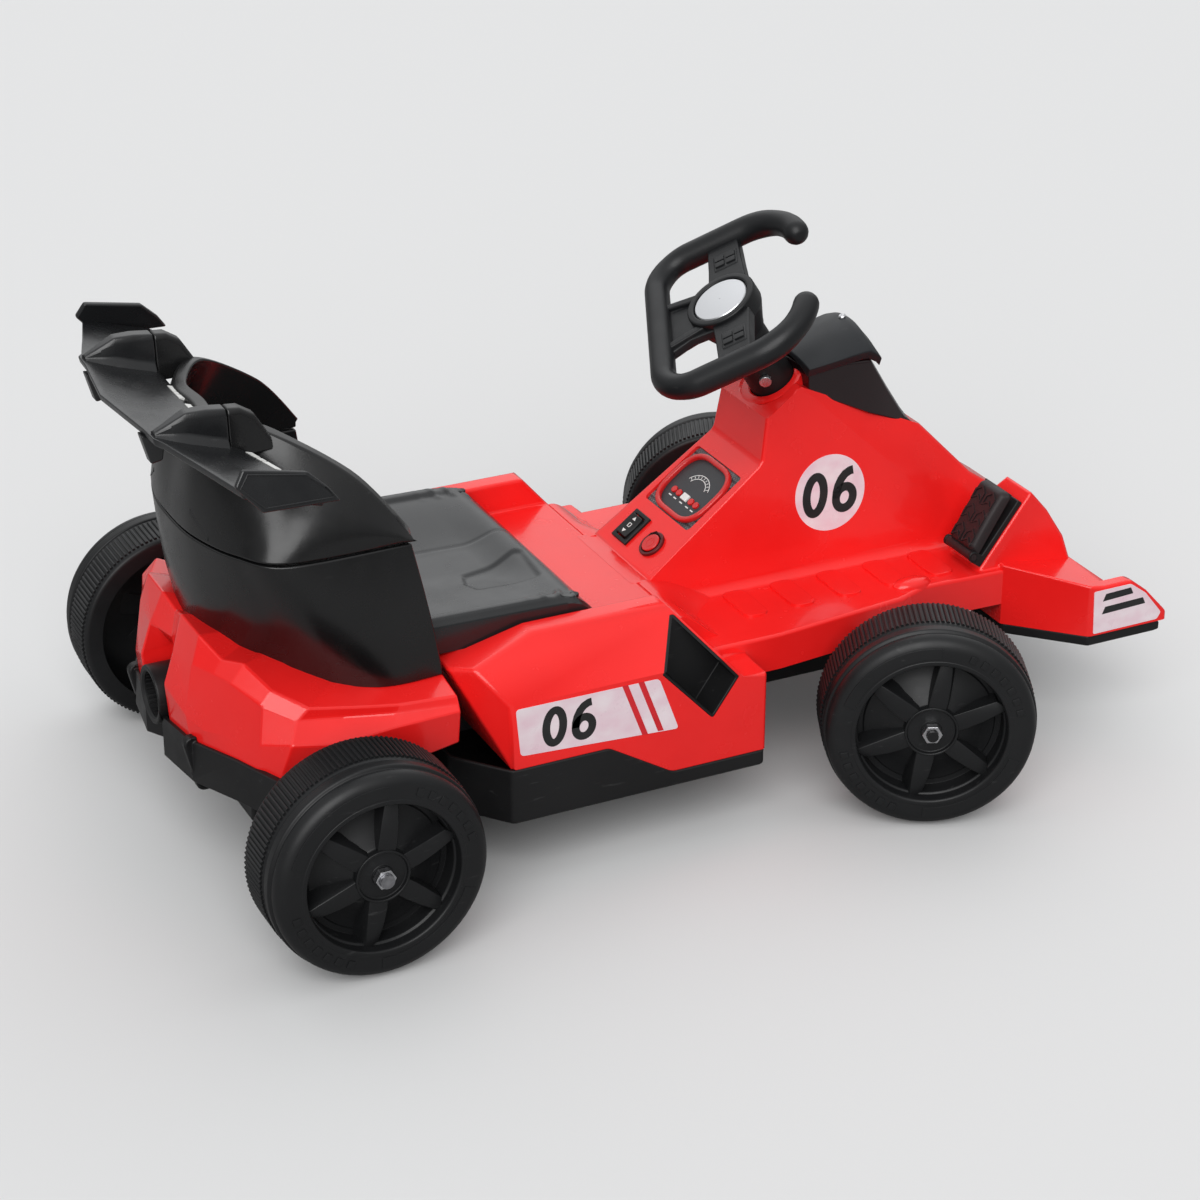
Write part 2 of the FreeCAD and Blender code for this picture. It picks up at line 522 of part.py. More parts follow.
web_start = "(boss_radius + clearance)"
stub_end = "front_track_half + wheel_width / 2 - hub_recess"
arm_low = "wheel_radius + boss_height / 2 + clearance"
for side, sign in SIDES:
    pin_y = f"{sign} * kingpin_half"
    pieces = []
    lower_lug = "wheel_radius - boss_height / 2 - clearance - lug_thick"
    for word, low in (("upper", arm_low), ("lower", lower_lug)):
        pieces.append(rod(f"lug_{word}_{side}", "boss_radius", "lug_thick", FRONT_AXLE_TEXT, pin_y, low))
        start = pin_y if sign > 0 else f"-kingpin_half - {web_start} - knuckle_web"
        pieces.append(block(f"lug_block_{word}_{side}", "2 * boss_radius", f"{web_start} + knuckle_web",
                            "lug_thick", f"{FRONT_AXLE_TEXT} - boss_radius", start, low))
    start = f"kingpin_half + {web_start}" if sign > 0 else f"-kingpin_half - {web_start} - knuckle_web"
    pieces.append(block(f"knuckle_web_{side}", "2 * boss_radius", "knuckle_web",
                        "boss_height + 2 * (lug_thick + clearance)",
                        f"{FRONT_AXLE_TEXT} - boss_radius", start, lower_lug))
    stub_length = f"{stub_end} + nut_height + axle_end - kingpin_half - {web_start}"
    start = f"kingpin_half + {web_start}" if sign > 0 else f"-({stub_end} + nut_height + axle_end)"
    pieces.append(rod(f"stub_axle_{side}", "front_axle_radius", stub_length, FRONT_AXLE_TEXT, start,
                      "wheel_radius", ALONG_Y))
    arm_end = f"{FRONT_AXLE_TEXT} - arm_length"
    pieces.append(block(f"steer_arm_{side}", "arm_length", "arm_width", "lug_thick", arm_end,
                        f"{pin_y} - arm_width / 2", arm_low))
    pieces.append(rod(f"steer_eye_{side}", "arm_width / 2", "lug_thick", arm_end, pin_y, arm_low))
    pieces.append(rod(f"steer_pin_{side}", "tie_pin_radius", "lug_thick + tie_thick + 2 * clearance",
                      arm_end, pin_y, arm_low))
    hole = rod(f"knuckle_hole_{side}", "kingpin_radius + running_fit", "boss_height + overrun * 2",
               FRONT_AXLE_TEXT, pin_y, "wheel_radius - boss_height / 2 - overrun")
    knuckle = cut(f"knuckle_drilled_{side}", fuse(f"knuckle_whole_{side}", *pieces), hole)
    knuckle.Placement = steer_turn(sign)
    keep(knuckle, f"knuckle_{side}")
    nut = hex_nut(f"front_nut_{side}", "front_axle_radius")
    nut_y = sign * (number_of(stub_end) + s.clearance + (0 if sign > 0 else s.nut_height))
    nut.Placement = steer_turn(sign).multiply(Placement(Vector(front_axle_x, nut_y, s.wheel_radius), ALONG_Y))
    keep(nut, f"front_axle_nut_{side}")

# Tie rod between the knuckle arms, with a slotted plate for the crank of the column

tie_low = number_of(arm_low) + s.lug_thick + s.clearance
tie_top = tie_low + s.tie_thick
tie_x = front_axle_x - s.arm_length * math.cos(math.radians(s.steer_rest))
tie_y = s.arm_length * math.sin(math.radians(s.steer_rest))

column_lean = Rotation(Vector(0, 1, 0), s.column_angle - 90)
wheel_rest = s.steer_rest / s.steer_share
hub_place = Vector(ahead(s.hub_x), 0, s.hub_z)
wheel_frame = Placement(hub_place, column_lean.multiply(Rotation(Vector(0, 0, 1), -wheel_rest)))
column_sine = math.sin(math.radians(s.column_angle))
column_cosine = math.cos(math.radians(s.column_angle))
full_turn = math.radians(s.steer_full)
crank_radius = s.arm_length * math.sin(full_turn) / math.sin(full_turn / s.steer_share)
crank_low_z = tie_top + s.crank_gap + s.crank_thick * column_sine
column_length = (s.hub_z - crank_low_z - crank_radius * column_cosine) / column_sine
crank_pin = wheel_frame.multVec(Vector(-crank_radius, 0, -column_length))
tie_middle_z = (tie_low + tie_top) / 2
slot_middle = crank_pin.x + (crank_pin.z - tie_middle_z) * column_cosine / column_sine - tie_x


def tie_rod():
    """Flat bar with an eye at each end and a slotted tab that reaches forward to the crank."""
    bar = Part.makeBox(s.tie_width, 2 * s.kingpin_half, s.tie_thick,
                       Vector(-s.tie_width / 2, -s.kingpin_half, 0))
    slot_reach = s.crank_pin_radius / column_sine + s.slot_room
    tab = Part.makeBox(slot_middle + slot_reach + s.slot_rim, s.tie_tab_width, s.tie_thick,
                       Vector(0, -s.tie_tab_width / 2, 0))
    shape = bar.fuse(tab)
    for sign in (-1, 1):
        shape = shape.fuse(Part.makeCylinder(s.tie_eye, s.tie_thick, Vector(0, sign * s.kingpin_half, 0)))
    for sign in (-1, 1):
        end = Vector(0, sign * s.kingpin_half, 0)
        shape = shape.cut(Part.makeCylinder(s.tie_pin_radius + s.clearance, s.tie_thick, end))
    slot_half = s.crank_pin_radius + s.clearance
    slot = Part.makeBox(2 * slot_reach, 2 * slot_half, s.tie_thick,
                        Vector(slot_middle - slot_reach, -slot_half, 0))
    return solid_only(shape.cut(slot))


feature("tie_rod", tie_rod(), Placement(Vector(tie_x, tie_y, tie_low), Rotation()))

# Steering wheel, column and their fittings, drawn along the column from the wheel's plane


def rim_path():
    """Middle line of the wheel's grip, open at the top, from the right tip to the left."""
    sweep = math.radians(s.rim_shoulder_sweep)
    shoulder_y = s.rim_half - s.rim_shoulder

    def on_shoulder(angle, sign):
        return Vector(s.rim_shoulder_start + s.rim_shoulder * math.sin(angle),
                      sign * (shoulder_y + s.rim_shoulder * math.cos(angle)), 0)

    def on_corner(angle, sign):
        middle = s.rim_corner - s.rim_bottom
        return Vector(middle - s.rim_corner * math.sin(angle),
                      sign * (s.rim_half - s.rim_corner + s.rim_corner * math.cos(angle)), 0)

    def half(sign):
        shoulder = Part.Arc(on_shoulder(sweep, sign), on_shoulder(sweep / 2, sign), on_shoulder(0, sign))
        flank = Part.LineSegment(on_shoulder(0, sign), on_corner(0, sign))
        corner = Part.Arc(on_corner(0, sign), on_corner(math.pi / 4, sign), on_corner(math.pi / 2, sign))
        return [shoulder, flank, corner]

    bottom = Part.LineSegment(on_corner(math.pi / 2, -1), on_corner(math.pi / 2, 1))
    edges = [piece.toShape() for piece in half(-1) + [bottom] + list(reversed(half(1)))]
    tips = [on_shoulder(sweep, -1), on_shoulder(sweep, 1)]
    return Part.Wire(Part.__sortEdges__(edges)), tips


def steering_wheel():
    """Grip tube with round tips, hub, two side spokes and one broad lower spoke."""
    path, tips = rim_path()
    start = path.Edges[0]
    tangent = start.tangentAt(start.FirstParameter)
    ring = Part.Wire([Part.makeCircle(s.rim_tube, start.valueAt(start.FirstParameter), tangent)])
    shape = path.makePipeShell([ring], True, False)
    for tip in tips:
        shape = shape.fuse(Part.makeSphere(s.rim_tube, tip))
    hub = Part.makeCylinder(s.hub_radius, s.hub_front + s.hub_back, Vector(0, 0, -s.hub_back))
    shape = shape.fuse(hub)
    for sign in (-1, 1):
        corner = Vector(s.side_spoke_up - s.side_spoke_width / 2, min(0, sign * s.rim_half),
                        s.hub_front / 2 - s.spoke_thick)
        shape = shape.fuse(Part.makeBox(s.side_spoke_width, s.rim_half, s.spoke_thick, corner))
    root, tip = s.low_spoke_root / 2, s.low_spoke_width / 2
    corners = [(0, -root), (0, root), (-s.rim_bottom, tip), (-s.rim_bottom, -tip)]
    low_spoke = plan_prism(corners, s.hub_front / 2 - s.spoke_thick, s.hub_front / 2)
    shape = shape.fuse(low_spoke)
    seat = Vector(0, 0, s.hub_front - s.badge_thick)
    shape = shape.cut(Part.makeCylinder(s.badge_radius, s.badge_thick, seat))
    for sign in (-1, 1):
        shape = shape.cut(pad_block(sign, s.clearance, s.pad_travel))
    bore = Part.makeCylinder(s.column_radius, s.hub_back, Vector(0, 0, -s.hub_back))
    return solid_only(shape.cut(bore))


def pad_block(sign, room, depth):
    """A button pad on a side spoke, with room around it and depth below it."""
    low = s.hub_front / 2 + s.pad_proud - s.pad_thick - depth
    return Part.makeBox(s.pad_width + 2 * room, s.pad_length + 2 * room, s.pad_thick + depth,
                        Vector(s.side_spoke_up - s.pad_width / 2 - room,
                               sign * s.pad_place - s.pad_length / 2 - room, low))


def steering_column():
    """Steel bar from the wheel's hub down to a crank with its pin."""
    bar = Part.makeCylinder(s.column_radius, column_length - s.hub_front, Vector(0, 0, -column_length))
    arm = Part.makeBox(crank_radius, s.crank_width, s.crank_thick,
                       Vector(-crank_radius, -s.crank_width / 2, -column_length))
    shape = bar.fuse(arm)
    for distance in (0, crank_radius):
        end = Part.makeCylinder(s.crank_width / 2, s.crank_thick, Vector(-distance, 0, -column_length))
        shape = shape.fuse(end)
    reach = (s.crank_gap + s.tie_thick + s.crank_pin_end) / column_sine + s.crank_thick
    pin = Part.makeCylinder(s.crank_pin_radius, reach, Vector(-crank_radius, 0, -column_length - reach))
    return solid_only(shape.fuse(pin))


bolt_level = -s.sleeve_end + s.bolt_up
bolt_span = 2 * (s.sleeve_radius + s.bolt_head_thick)


def bolt_bar(radius, start, length):
    """A round bar across the sleeve at the bolt's level."""
    return Part.makeCylinder(radius, length, Vector(0, start, bolt_level), Vector(0, 1, 0))


def column_sleeve():
    """Neck that clamps the wheel's hub to the column."""
    length = s.sleeve_end - s.hub_back
    tube = Part.makeCylinder(s.sleeve_radius, length, Vector(0, 0, -s.sleeve_end))
    tube = tube.cut(Part.makeCylinder(s.column_radius, length, Vector(0, 0, -s.sleeve_end)))
    return solid_only(tube.cut(bolt_bar(s.bolt_radius, -bolt_span / 2, bolt_span)))


def column_bolt():
    """Bolt across the sleeve, with a head at one end and a nut at the other."""
    shape = bolt_bar(s.bolt_radius, -bolt_span / 2, bolt_span)
    for start in (-bolt_span / 2, s.sleeve_radius):
        shape = shape.fuse(bolt_bar(s.bolt_head, start, s.bolt_head_thick))
    column = Part.makeCylinder(s.column_radius, column_length, Vector(0, 0, -column_length))
    return solid_only(shape.cut(column))


feature("steering_wheel", steering_wheel(), wheel_frame)
badge_seat = Vector(0, 0, s.hub_front - s.badge_thick)
badge = Part.makeCylinder(s.badge_radius - s.clearance, s.badge_thick, badge_seat)
feature("steering_badge", badge, wheel_frame)
feature("steering_column", steering_column(), wheel_frame)
feature("column_sleeve", column_sleeve(), wheel_frame)
feature("column_bolt", column_bolt(), wheel_frame)
for side, sign in SIDES:
    feature(f"wheel_button_{side}", pad_block(sign, 0, 0), wheel_frame)

# Dash frame: up the slope, across to the left, and out of the face

dash_run = ahead(s.dash_head_x) - ahead(s.dash_foot_x)
dash_slope = math.degrees(math.atan2(s.dash_head_z - s.dash_foot_z, dash_run))
dash_turn = Rotation(Vector(0, 1, 0), -dash_slope)
dash_frame = Placement(Vector(ahead(s.dash_foot_x), 0, s.dash_foot_z), dash_turn)


def on_dash(shape):
    """A tool drawn in the dash frame, moved to its place in the kart."""
    moved = shape.copy()
    moved.Placement = dash_frame.multiply(moved.Placement)
    return moved


def dash_block(middle, aside, length, width, low, high):
    """A block on the dash, given by its middle, its sizes and its levels."""
    return Part.makeBox(length, width, high - low, Vector(middle - length / 2, aside - width / 2, low))


def dash_disc(middle, aside, radius, low, high):
    return Part.makeCylinder(radius, high - low, Vector(middle, aside, low))


def rounded_block(middle, aside, length, width, corner, low, high):
    """A block on the dash with four round upright corners."""
    plain = dash_block(middle, aside, length, width, low, high)
    upright = [edge for edge in plain.Edges if abs(edge.tangentAt(edge.FirstParameter).z) > math.sqrt(0.5)]
    return plain.makeFillet(corner, upright)


panel_top = -s.shell_wall
panel_low = panel_top - s.panel_thick
panel_middle = (s.recess_start + s.recess_end) / 2
panel_length = s.recess_end - s.recess_start + 2 * s.panel_lap
BUTTON_SPOTS = (("far_left", s.button_far), ("left", s.button_near),
                ("right", -s.button_near), ("far_right", -s.button_far))


def instrument_panel():
    """Plate behind the dash opening, drilled for its row of buttons."""
    plate = dash_block(panel_middle, 0, panel_length, 2 * (s.recess_half + s.panel_lap), panel_low, panel_top)
    for word, aside in BUTTON_SPOTS:
        plate = plate.cut(dash_disc(s.button_row, aside, s.button_radius + s.clearance, panel_low, panel_top))
    window = dash_block(s.button_row, 0, s.display_length + 2 * s.clearance,
                        s.display_width + 2 * s.clearance, panel_low, panel_top)
    return solid_only(plate.cut(window))


def instrument_ring():
    """Raised rounded-square frame around the instruments."""
    top = panel_top + s.ring_rise
    outer = rounded_block(s.ring_middle, 0, s.ring_length, s.ring_width, s.ring_corner, panel_top, top)
    inner = rounded_block(s.ring_middle, 0, s.ring_length - 2 * s.ring_band, s.ring_width - 2 * s.ring_band,
                          s.ring_corner - s.ring_band, panel_top, top)
    return solid_only(outer.cut(inner))


feature("instrument_panel", instrument_panel(), dash_frame)
feature("instrument_ring", instrument_ring(), dash_frame)
for word, aside in BUTTON_SPOTS:
    knob = dash_disc(s.button_row, aside, s.button_radius, panel_top - s.button_depth,
                     panel_top + s.button_rise)
    feature(f"dash_button_{word}", knob, dash_frame)
display = dash_block(s.button_row, 0, s.display_length, s.display_width, panel_top - s.button_depth,
                     panel_top + s.button_rise)
feature("dash_button_middle", display, dash_frame)

rocker_hole_length = s.rocker_length - 2 * s.rocker_frame
rocker_hole_width = s.rocker_width - 2 * s.rocker_frame


def rocker_bezel():
    """Frame of the direction switch."""
    frame = dash_block(s.switch_row, s.switch_aside, s.rocker_length, s.rocker_width, 0, s.rocker_rise)
    hole = dash_block(s.switch_row, s.switch_aside, rocker_hole_length, rocker_hole_width, 0, s.rocker_rise)
    return solid_only(frame.cut(hole))


def rocker_switch():
    """Rocking key with a shallow roof, lower at both ends."""
    half = rocker_hole_length / 2 - s.rocker_gap
    width = rocker_hole_width - 2 * s.clearance
    top = s.rocker_rise + s.rocker_proud
    corners = [(-half, -s.rocker_depth), (half, -s.rocker_depth), (half, top), (0, top - s.rocker_proud / 2),
               (-half, top)]
    key = prism([Vector(s.switch_row + along, s.switch_aside - width / 2, out) for along, out in corners],
                Vector(0, width, 0))
    return solid_only(key)


def power_bezel():
    """Round rim of the power button."""
    disc = dash_disc(s.switch_row, -s.switch_aside, s.power_radius, 0, s.rocker_rise)
    hole = dash_disc(s.switch_row, -s.switch_aside, s.power_radius - s.power_rim, 0, s.rocker_rise)
    return solid_only(disc.cut(hole))


feature("rocker_bezel", rocker_bezel(), dash_frame)
feature("rocker_switch", rocker_switch(), dash_frame)
feature("power_bezel", power_bezel(), dash_frame)
power_key = dash_disc(s.switch_row, -s.switch_aside, s.power_radius - s.power_rim - s.clearance,
                      -s.power_depth, s.rocker_rise + s.power_proud)
feature("power_button", power_key, dash_frame)

# Red body: pods, deck, foot wells, console, bulkhead and front wing in one moulding


def pods(drawn_in):
    """Side pods and the deck between them, without the troughs."""
    section = [(-s.pod_half, s.skirt_low_z), (s.pod_half, s.skirt_low_z), (s.pod_half, s.pod_crease_z),
               (s.pod_top_half, s.pod_top_z), (-s.pod_top_half, s.pod_top_z), (-s.pod_half, s.pod_crease_z)]
    side = [(ahead(s.pod_rear_x), s.shell_bottom_z), (ahead(s.skirt_bend_x), s.shell_bottom_z),
            (ahead(s.skirt_drop_x), s.skirt_low_z), (ahead(s.pod_end_x), s.skirt_low_z),
            (ahead(s.pod_end_x), s.pod_toe_z), (ahead(s.pod_toe_x), s.pod_toe_z),
            (ahead(s.pod_front_x), s.pod_top_z), (ahead(s.pod_rise_x), s.pod_top_z),
            (ahead(s.pod_tail_x), s.pod_tail_z)]
    plan = mirrored_pairs([(ahead(s.pod_tail_x), -s.pod_tail_half), (ahead(s.pod_rear_x), -s.pod_half),
                           (ahead(s.pod_end_x), -s.pod_half)])
    form = end_prism(inset(section, drawn_in), ahead(s.pod_tail_x), ahead(s.pod_end_x))
    form = form.common(side_prism(inset(side, drawn_in), s.pod_half))
    form = form.common(plan_prism(inset(plan, drawn_in), s.skirt_low_z, s.pod_top_z))
    steps = [(s.pod_tail_x - s.overrun, s.seat_front_x, s.deck_z),
             (s.seat_front_x, s.deck_end_x, s.deck_front_z),
             (s.deck_end_x, s.pod_end_x + s.overrun, s.floor_z)]
    for start, end, level in steps:
        trough = slab(ahead(start) - drawn_in, ahead(end) + drawn_in, s.pod_inner_half + drawn_in,
                      level - drawn_in, s.pod_top_z + s.overrun)
        form = form.cut(trough)
    return form


def foot_wells(drawn_in):
    """Flat floor on both sides of the console, with its notch beside the front wheels."""
    plan = mirrored_pairs([(ahead(s.floor_start_x), -s.floor_rear_half),
                           (ahead(s.floor_bend_x), -s.floor_rear_half),
                           (ahead(s.floor_axle_x), -s.floor_axle_half),
                           (ahead(s.floor_notch_x), -s.floor_notch_half),
                           (ahead(s.floor_front_x), -s.floor_front_half)])
    return plan_prism(inset(plan, drawn_in), s.floor_z - s.floor_depth + drawn_in, s.floor_z - drawn_in)


def console(drawn_in):
    """Dash slope, steering tower and the ridge that runs down to the nose."""
    low = s.floor_z - s.floor_depth
    side = [(ahead(s.floor_start_x), low), (ahead(s.ridge_end_x), low), (ahead(s.ridge_end_x), s.ridge_end_z),
            (ahead(s.ridge_low_x), s.ridge_low_z), (ahead(s.ridge_x), s.ridge_z),
            (ahead(s.tower_top_x), s.tower_top_z), (ahead(s.tower_x), s.tower_z),
            (ahead(s.dash_head_x), s.dash_head_z), (ahead(s.dash_foot_x), s.dash_foot_z),
            (ahead(s.floor_start_x), s.dash_foot_z)]
    section = [(-s.console_foot_half, low), (s.console_foot_half, low), (s.console_foot_half, s.floor_z),
               (s.console_top_half, s.console_top_z), (-s.console_top_half, s.console_top_z),
               (-s.console_foot_half, s.floor_z)]
    form = side_prism(inset(side, drawn_in), s.console_foot_half)
    form = form.common(end_prism(inset(section, drawn_in), ahead(s.floor_start_x), ahead(s.ridge_end_x)))
    taper = [Vector(ahead(s.tower_top_x), -s.console_top_half, s.tower_top_z),
             Vector(ahead(s.ridge_foot_x), -s.console_foot_half, s.floor_z),
             Vector(ahead(s.ridge_x), -s.ridge_half, s.ridge_z)]
    return both_sides(form, taper, drawn_in)


def bulkhead(drawn_in):
    """Hump in front of the driver's right foot, which carries the pedal."""
    low = s.floor_z - s.floor_depth
    side = [(ahead(s.bulkhead_foot_x), low), (ahead(s.bulkhead_end_x), low),
            (ahead(s.bulkhead_end_x), s.bulkhead_end_z), (ahead(s.bulkhead_front_x), s.bulkhead_front_z),
            (ahead(s.bulkhead_brow_x), s.bulkhead_brow_z), (ahead(s.bulkhead_top_x), s.bulkhead_top_z),
            (ahead(s.bulkhead_foot_x), s.floor_z)]
    section = [(-s.bulkhead_half, low), (-s.bulkhead_inner, low), (-s.bulkhead_inner, s.bulkhead_shoulder_z),
               (-s.bulkhead_shoulder, s.bulkhead_top_z), (-s.bulkhead_half, s.bulkhead_top_z)]
    form = side_prism(inset(side, drawn_in), s.bulkhead_half)
    return form.common(end_prism(inset(section, drawn_in), ahead(s.bulkhead_foot_x), ahead(s.bulkhead_end_x)))


nose_x = s.drawn_wheelbase + s.front_reach


def wing_plan():
    """Plan of the front wing: swept flanks, end plates that reach forward, straight lip between."""
    return mirrored_pairs([(ahead(s.wing_root_x), -s.wing_root_half),
                           (ahead(s.wing_tip_rear_x), -s.wing_half), (ahead(nose_x), -s.wing_half),
                           (ahead(s.wing_lip_x), s.wing_plate_width - s.wing_half)])


def front_wing(drawn_in):
    """Low wing across the nose with an upright plate at each end."""
    side = [(ahead(s.wing_root_x), s.wing_bottom_z), (ahead(s.wing_lip_x), s.wing_bottom_z),
            (ahead(s.wing_lip_x), s.wing_lip_z), (ahead(s.wing_foot_x), s.wing_lip_z),
            (ahead(s.wing_crest_x), s.wing_crest_z), (ahead(s.wing_root_x), s.wing_root_z)]
    plate = [(ahead(s.wing_tip_rear_x), s.wing_bottom_z), (ahead(nose_x), s.wing_bottom_z),
             (ahead(nose_x), s.wing_tip_z), (ahead(s.wing_plate_brow_x), s.wing_plate_brow_z),
             (ahead(s.wing_plate_bend_x), s.wing_plate_z), (ahead(s.wing_tip_rear_x), s.wing_plate_z)]
    form = side_prism(inset(side, drawn_in), s.wing_half)
    form = form.common(plan_prism(inset(wing_plan(), drawn_in), s.wing_bottom_z, s.wing_root_z))
    outer = s.wing_half - drawn_in
    inner = s.wing_half - s.wing_plate_width + drawn_in
    for sign in (-1, 1):
        form = form.fuse(side_prism(inset(plate, drawn_in), sign * outer, sign * inner))
    return form


def body_form(drawn_in):
    """The whole red body, or the hollow inside it."""
    form = pods(drawn_in)
    for part in (foot_wells, console, bulkhead, front_wing):
        form = form.fuse(part(drawn_in))
    return form


def duct_prism(sign, drawn_in):
    """The intake pocket in one pod's front corner."""
    points = [(ahead(s.duct_rear_x), s.duct_rear_z), (ahead(s.duct_low_x), s.duct_low_z),
              (ahead(s.duct_front_x), s.duct_front_z), (ahead(s.duct_top_x), s.duct_top_z)]
    start = sign * (s.pod_half - s.duct_depth + drawn_in)
    return side_prism(inset(points, drawn_in), sign * (s.pod_half + s.overrun), start)


outer_body = body_form(0)
body = shell_of(body_form, s.shell_wall)
body = body.cut(slab(ahead(s.skirt_bend_x), ahead(s.pod_end_x) + s.overrun, s.pod_inner_half, s.skirt_low_z,
                     s.shell_bottom_z))
for side, sign in SIDES:
    body = body.cut(duct_prism(sign, 0))
body = body.cut(on_dash(dash_block(panel_middle, 0, s.recess_end - s.recess_start, 2 * s.recess_half,
                                   -s.overrun, s.overrun)))
body = body.cut(on_dash(dash_block(s.switch_row, s.switch_aside, rocker_hole_length, rocker_hole_width,
                                   -s.overrun, s.overrun)))
body = body.cut(on_dash(dash_disc(s.switch_row, -s.switch_aside, s.power_radius - s.power_rim,
                                  -s.overrun, s.overrun)))


def column_well(radius, depth):
    """Round well about the column, from the wheel's plane down to a depth."""
    well = Part.makeCylinder(radius, depth, Vector(0, 0, -depth))
    well.Placement = Placement(hub_place, column_lean)
    return well


well_depth = s.sleeve_end + s.clearance
cup = column_well(s.well_radius + s.shell_wall, well_depth + s.shell_wall).common(outer_body)
column_hole = column_well(s.column_radius + s.running_fit, column_length)
body = body.fuse(cup).cut(column_well(s.well_radius, well_depth)).cut(column_hole)
feature("body_shell", solid_only(body))


def column_bracket():
    """Plate between the console's side walls that holds the column's lower end."""
    bearing_x = hub_place.x + (s.hub_z - s.bracket_z) / column_sine * column_cosine
    plate = slab(bearing_x - s.bracket_length / 2, bearing_x + s.bracket_length / 2, s.console_foot_half,
                 s.bracket_z - s.bracket_thick / 2, s.bracket_z + s.bracket_thick / 2)
    return solid_only(plate.common(console(s.shell_wall)).cut(column_hole))


feature("column_bracket", column_bracket())

for side, sign in SIDES:
    lining = duct_prism(sign, 0).cut(duct_prism(sign, s.duct_wall)).common(outer_body)
    feature(f"duct_insert_{side}", solid_only(lining))


def undertray():
    """Black tray that closes the nose from below."""
    return plan_prism(inset(wing_plan(), s.tray_inset), s.wing_bottom_z - s.tray_depth, s.wing_bottom_z)


feature("front_undertray", undertray())


def hood_form(drawn_in):
    """Black hood over the steering tower, crowned across."""
    side = [(ahead(s.hood_foot_x), ridge_level(s.hood_foot_x)), (ahead(s.hood_neck_x), s.hood_neck_z),
            (ahead(s.hood_brow_x), s.hood_brow_z), (ahead(s.hood_top_x), s.hood_top_z),
            (ahead(s.hood_rear_x), s.hood_rear_z), (ahead(s.hood_rear_x), ridge_level(s.hood_rear_x))]
    section = [(-s.hood_half, s.ridge_z), (s.hood_half, s.ridge_z), (s.hood_half, s.hood_edge_z),
               (s.hood_crown_half, s.hood_top_z), (-s.hood_crown_half, s.hood_top_z),
               (-s.hood_half, s.hood_edge_z)]
    form = side_prism(inset(side, drawn_in), s.hood_half)
    form = form.common(end_prism(inset(section, drawn_in), ahead(s.hood_rear_x), ahead(s.ridge_x)))
    taper = [Vector(ahead(s.hood_top_x), -s.hood_half, s.hood_edge_z),
             Vector(ahead(s.hood_top_x), -s.hood_half, s.ridge_z),
             Vector(ahead(s.hood_nose_x), -s.hood_nose_half, s.ridge_z)]
    return both_sides(form, taper, drawn_in)


def ridge_level(distance):
    """Height of the tower's ridge at a distance ahead of the rear axle."""
    fall = (s.tower_top_z - s.ridge_z) / (s.ridge_x - s.tower_top_x)
    return s.tower_top_z - (distance - s.tower_top_x) * fall


hood = shell_of(hood_form, s.hood_wall).cut(outer_body).cut(column_well(s.well_radius, well_depth))
feature("front_hood", solid_only(hood))

# Accelerator pedal: up the bulkhead's slope, across to the left, and out of the slope

pedal_run = ahead(s.bulkhead_top_x) - ahead(s.bulkhead_foot_x)
pedal_slope = math.degrees(math.atan2(s.bulkhead_top_z - s.floor_z, pedal_run))
pedal_frame = Placement(Vector(ahead(s.bulkhead_foot_x), -s.pedal_side, s.floor_z),
                        Rotation(Vector(0, 1, 0), -pedal_slope))
base_half = s.pedal_width / 2 + s.pedal_base_rim + s.clearance


def pedal_base():
    """Frame screwed to the bulkhead, with two ears for the pedal's pin."""
    plate = Part.makeBox(s.pedal_length, 2 * base_half, s.pedal_base_thick,
                         Vector(s.pedal_start, -base_half, 0))
    ear = 2 * (s.pedal_pivot_up - s.pedal_start)
    for low in (-base_half, base_half - s.pedal_base_rim):
        foot = Vector(s.pedal_start, low, 0)
        plate = plate.fuse(Part.makeBox(ear, s.pedal_base_rim, s.pedal_pivot_out, foot))
        eye = Vector(s.pedal_pivot_up, low, s.pedal_pivot_out)
        plate = plate.fuse(Part.makeCylinder(ear / 2, s.pedal_base_rim, eye, Vector(0, 1, 0)))
    drill = Part.makeCylinder(s.pedal_pin_radius + s.running_fit, 2 * base_half,
                              Vector(s.pedal_pivot_up, -base_half, s.pedal_pivot_out), Vector(0, 1, 0))
    return solid_only(plate.cut(drill))


def pedal():
    """Tread plate with a pin through its lower end, tipped up at rest."""
    half = s.pedal_width / 2
    plate = Part.makeBox(s.pedal_length - s.pedal_thick / 2, s.pedal_width, s.pedal_thick,
                         Vector(0, -half, -s.pedal_thick / 2))
    heel = Part.makeCylinder(s.pedal_thick / 2, s.pedal_width, Vector(0, -half, 0), Vector(0, 1, 0))
    pin = Part.makeCylinder(s.pedal_pin_radius, 2 * base_half, Vector(0, -base_half, 0), Vector(0, 1, 0))
    shape = plate.fuse(heel).fuse(pin)
    pivot = Vector(s.pedal_pivot_up, 0, s.pedal_pivot_out)
    shape.Placement = Placement(pivot, Rotation(Vector(0, 1, 0), -s.pedal_rest))
    return solid_only(shape)


feature("pedal_base", pedal_base(), pedal_frame)
feature("accelerator_pedal", pedal(), pedal_frame)

# Seat pan and seat back


def seat_form(wall):
    """Seat pan with its front edge rolled down, or the hollow below it."""
    side = [(s.seat_rear_x + wall, s.deck_z), (s.seat_front_x - s.clearance - wall, s.deck_z),
            (s.seat_front_x - s.clearance - wall, s.seat_edge_z - wall / 2),
            (s.seat_lip_x - wall, s.seat_lip_z - wall), (s.seat_bend_x - wall, s.seat_front_z - wall),
            (s.seat_rear_x + wall, s.seat_rear_z - wall)]
    return side_prism([(ahead(x), z) for x, z in side], s.seat_half - wall)


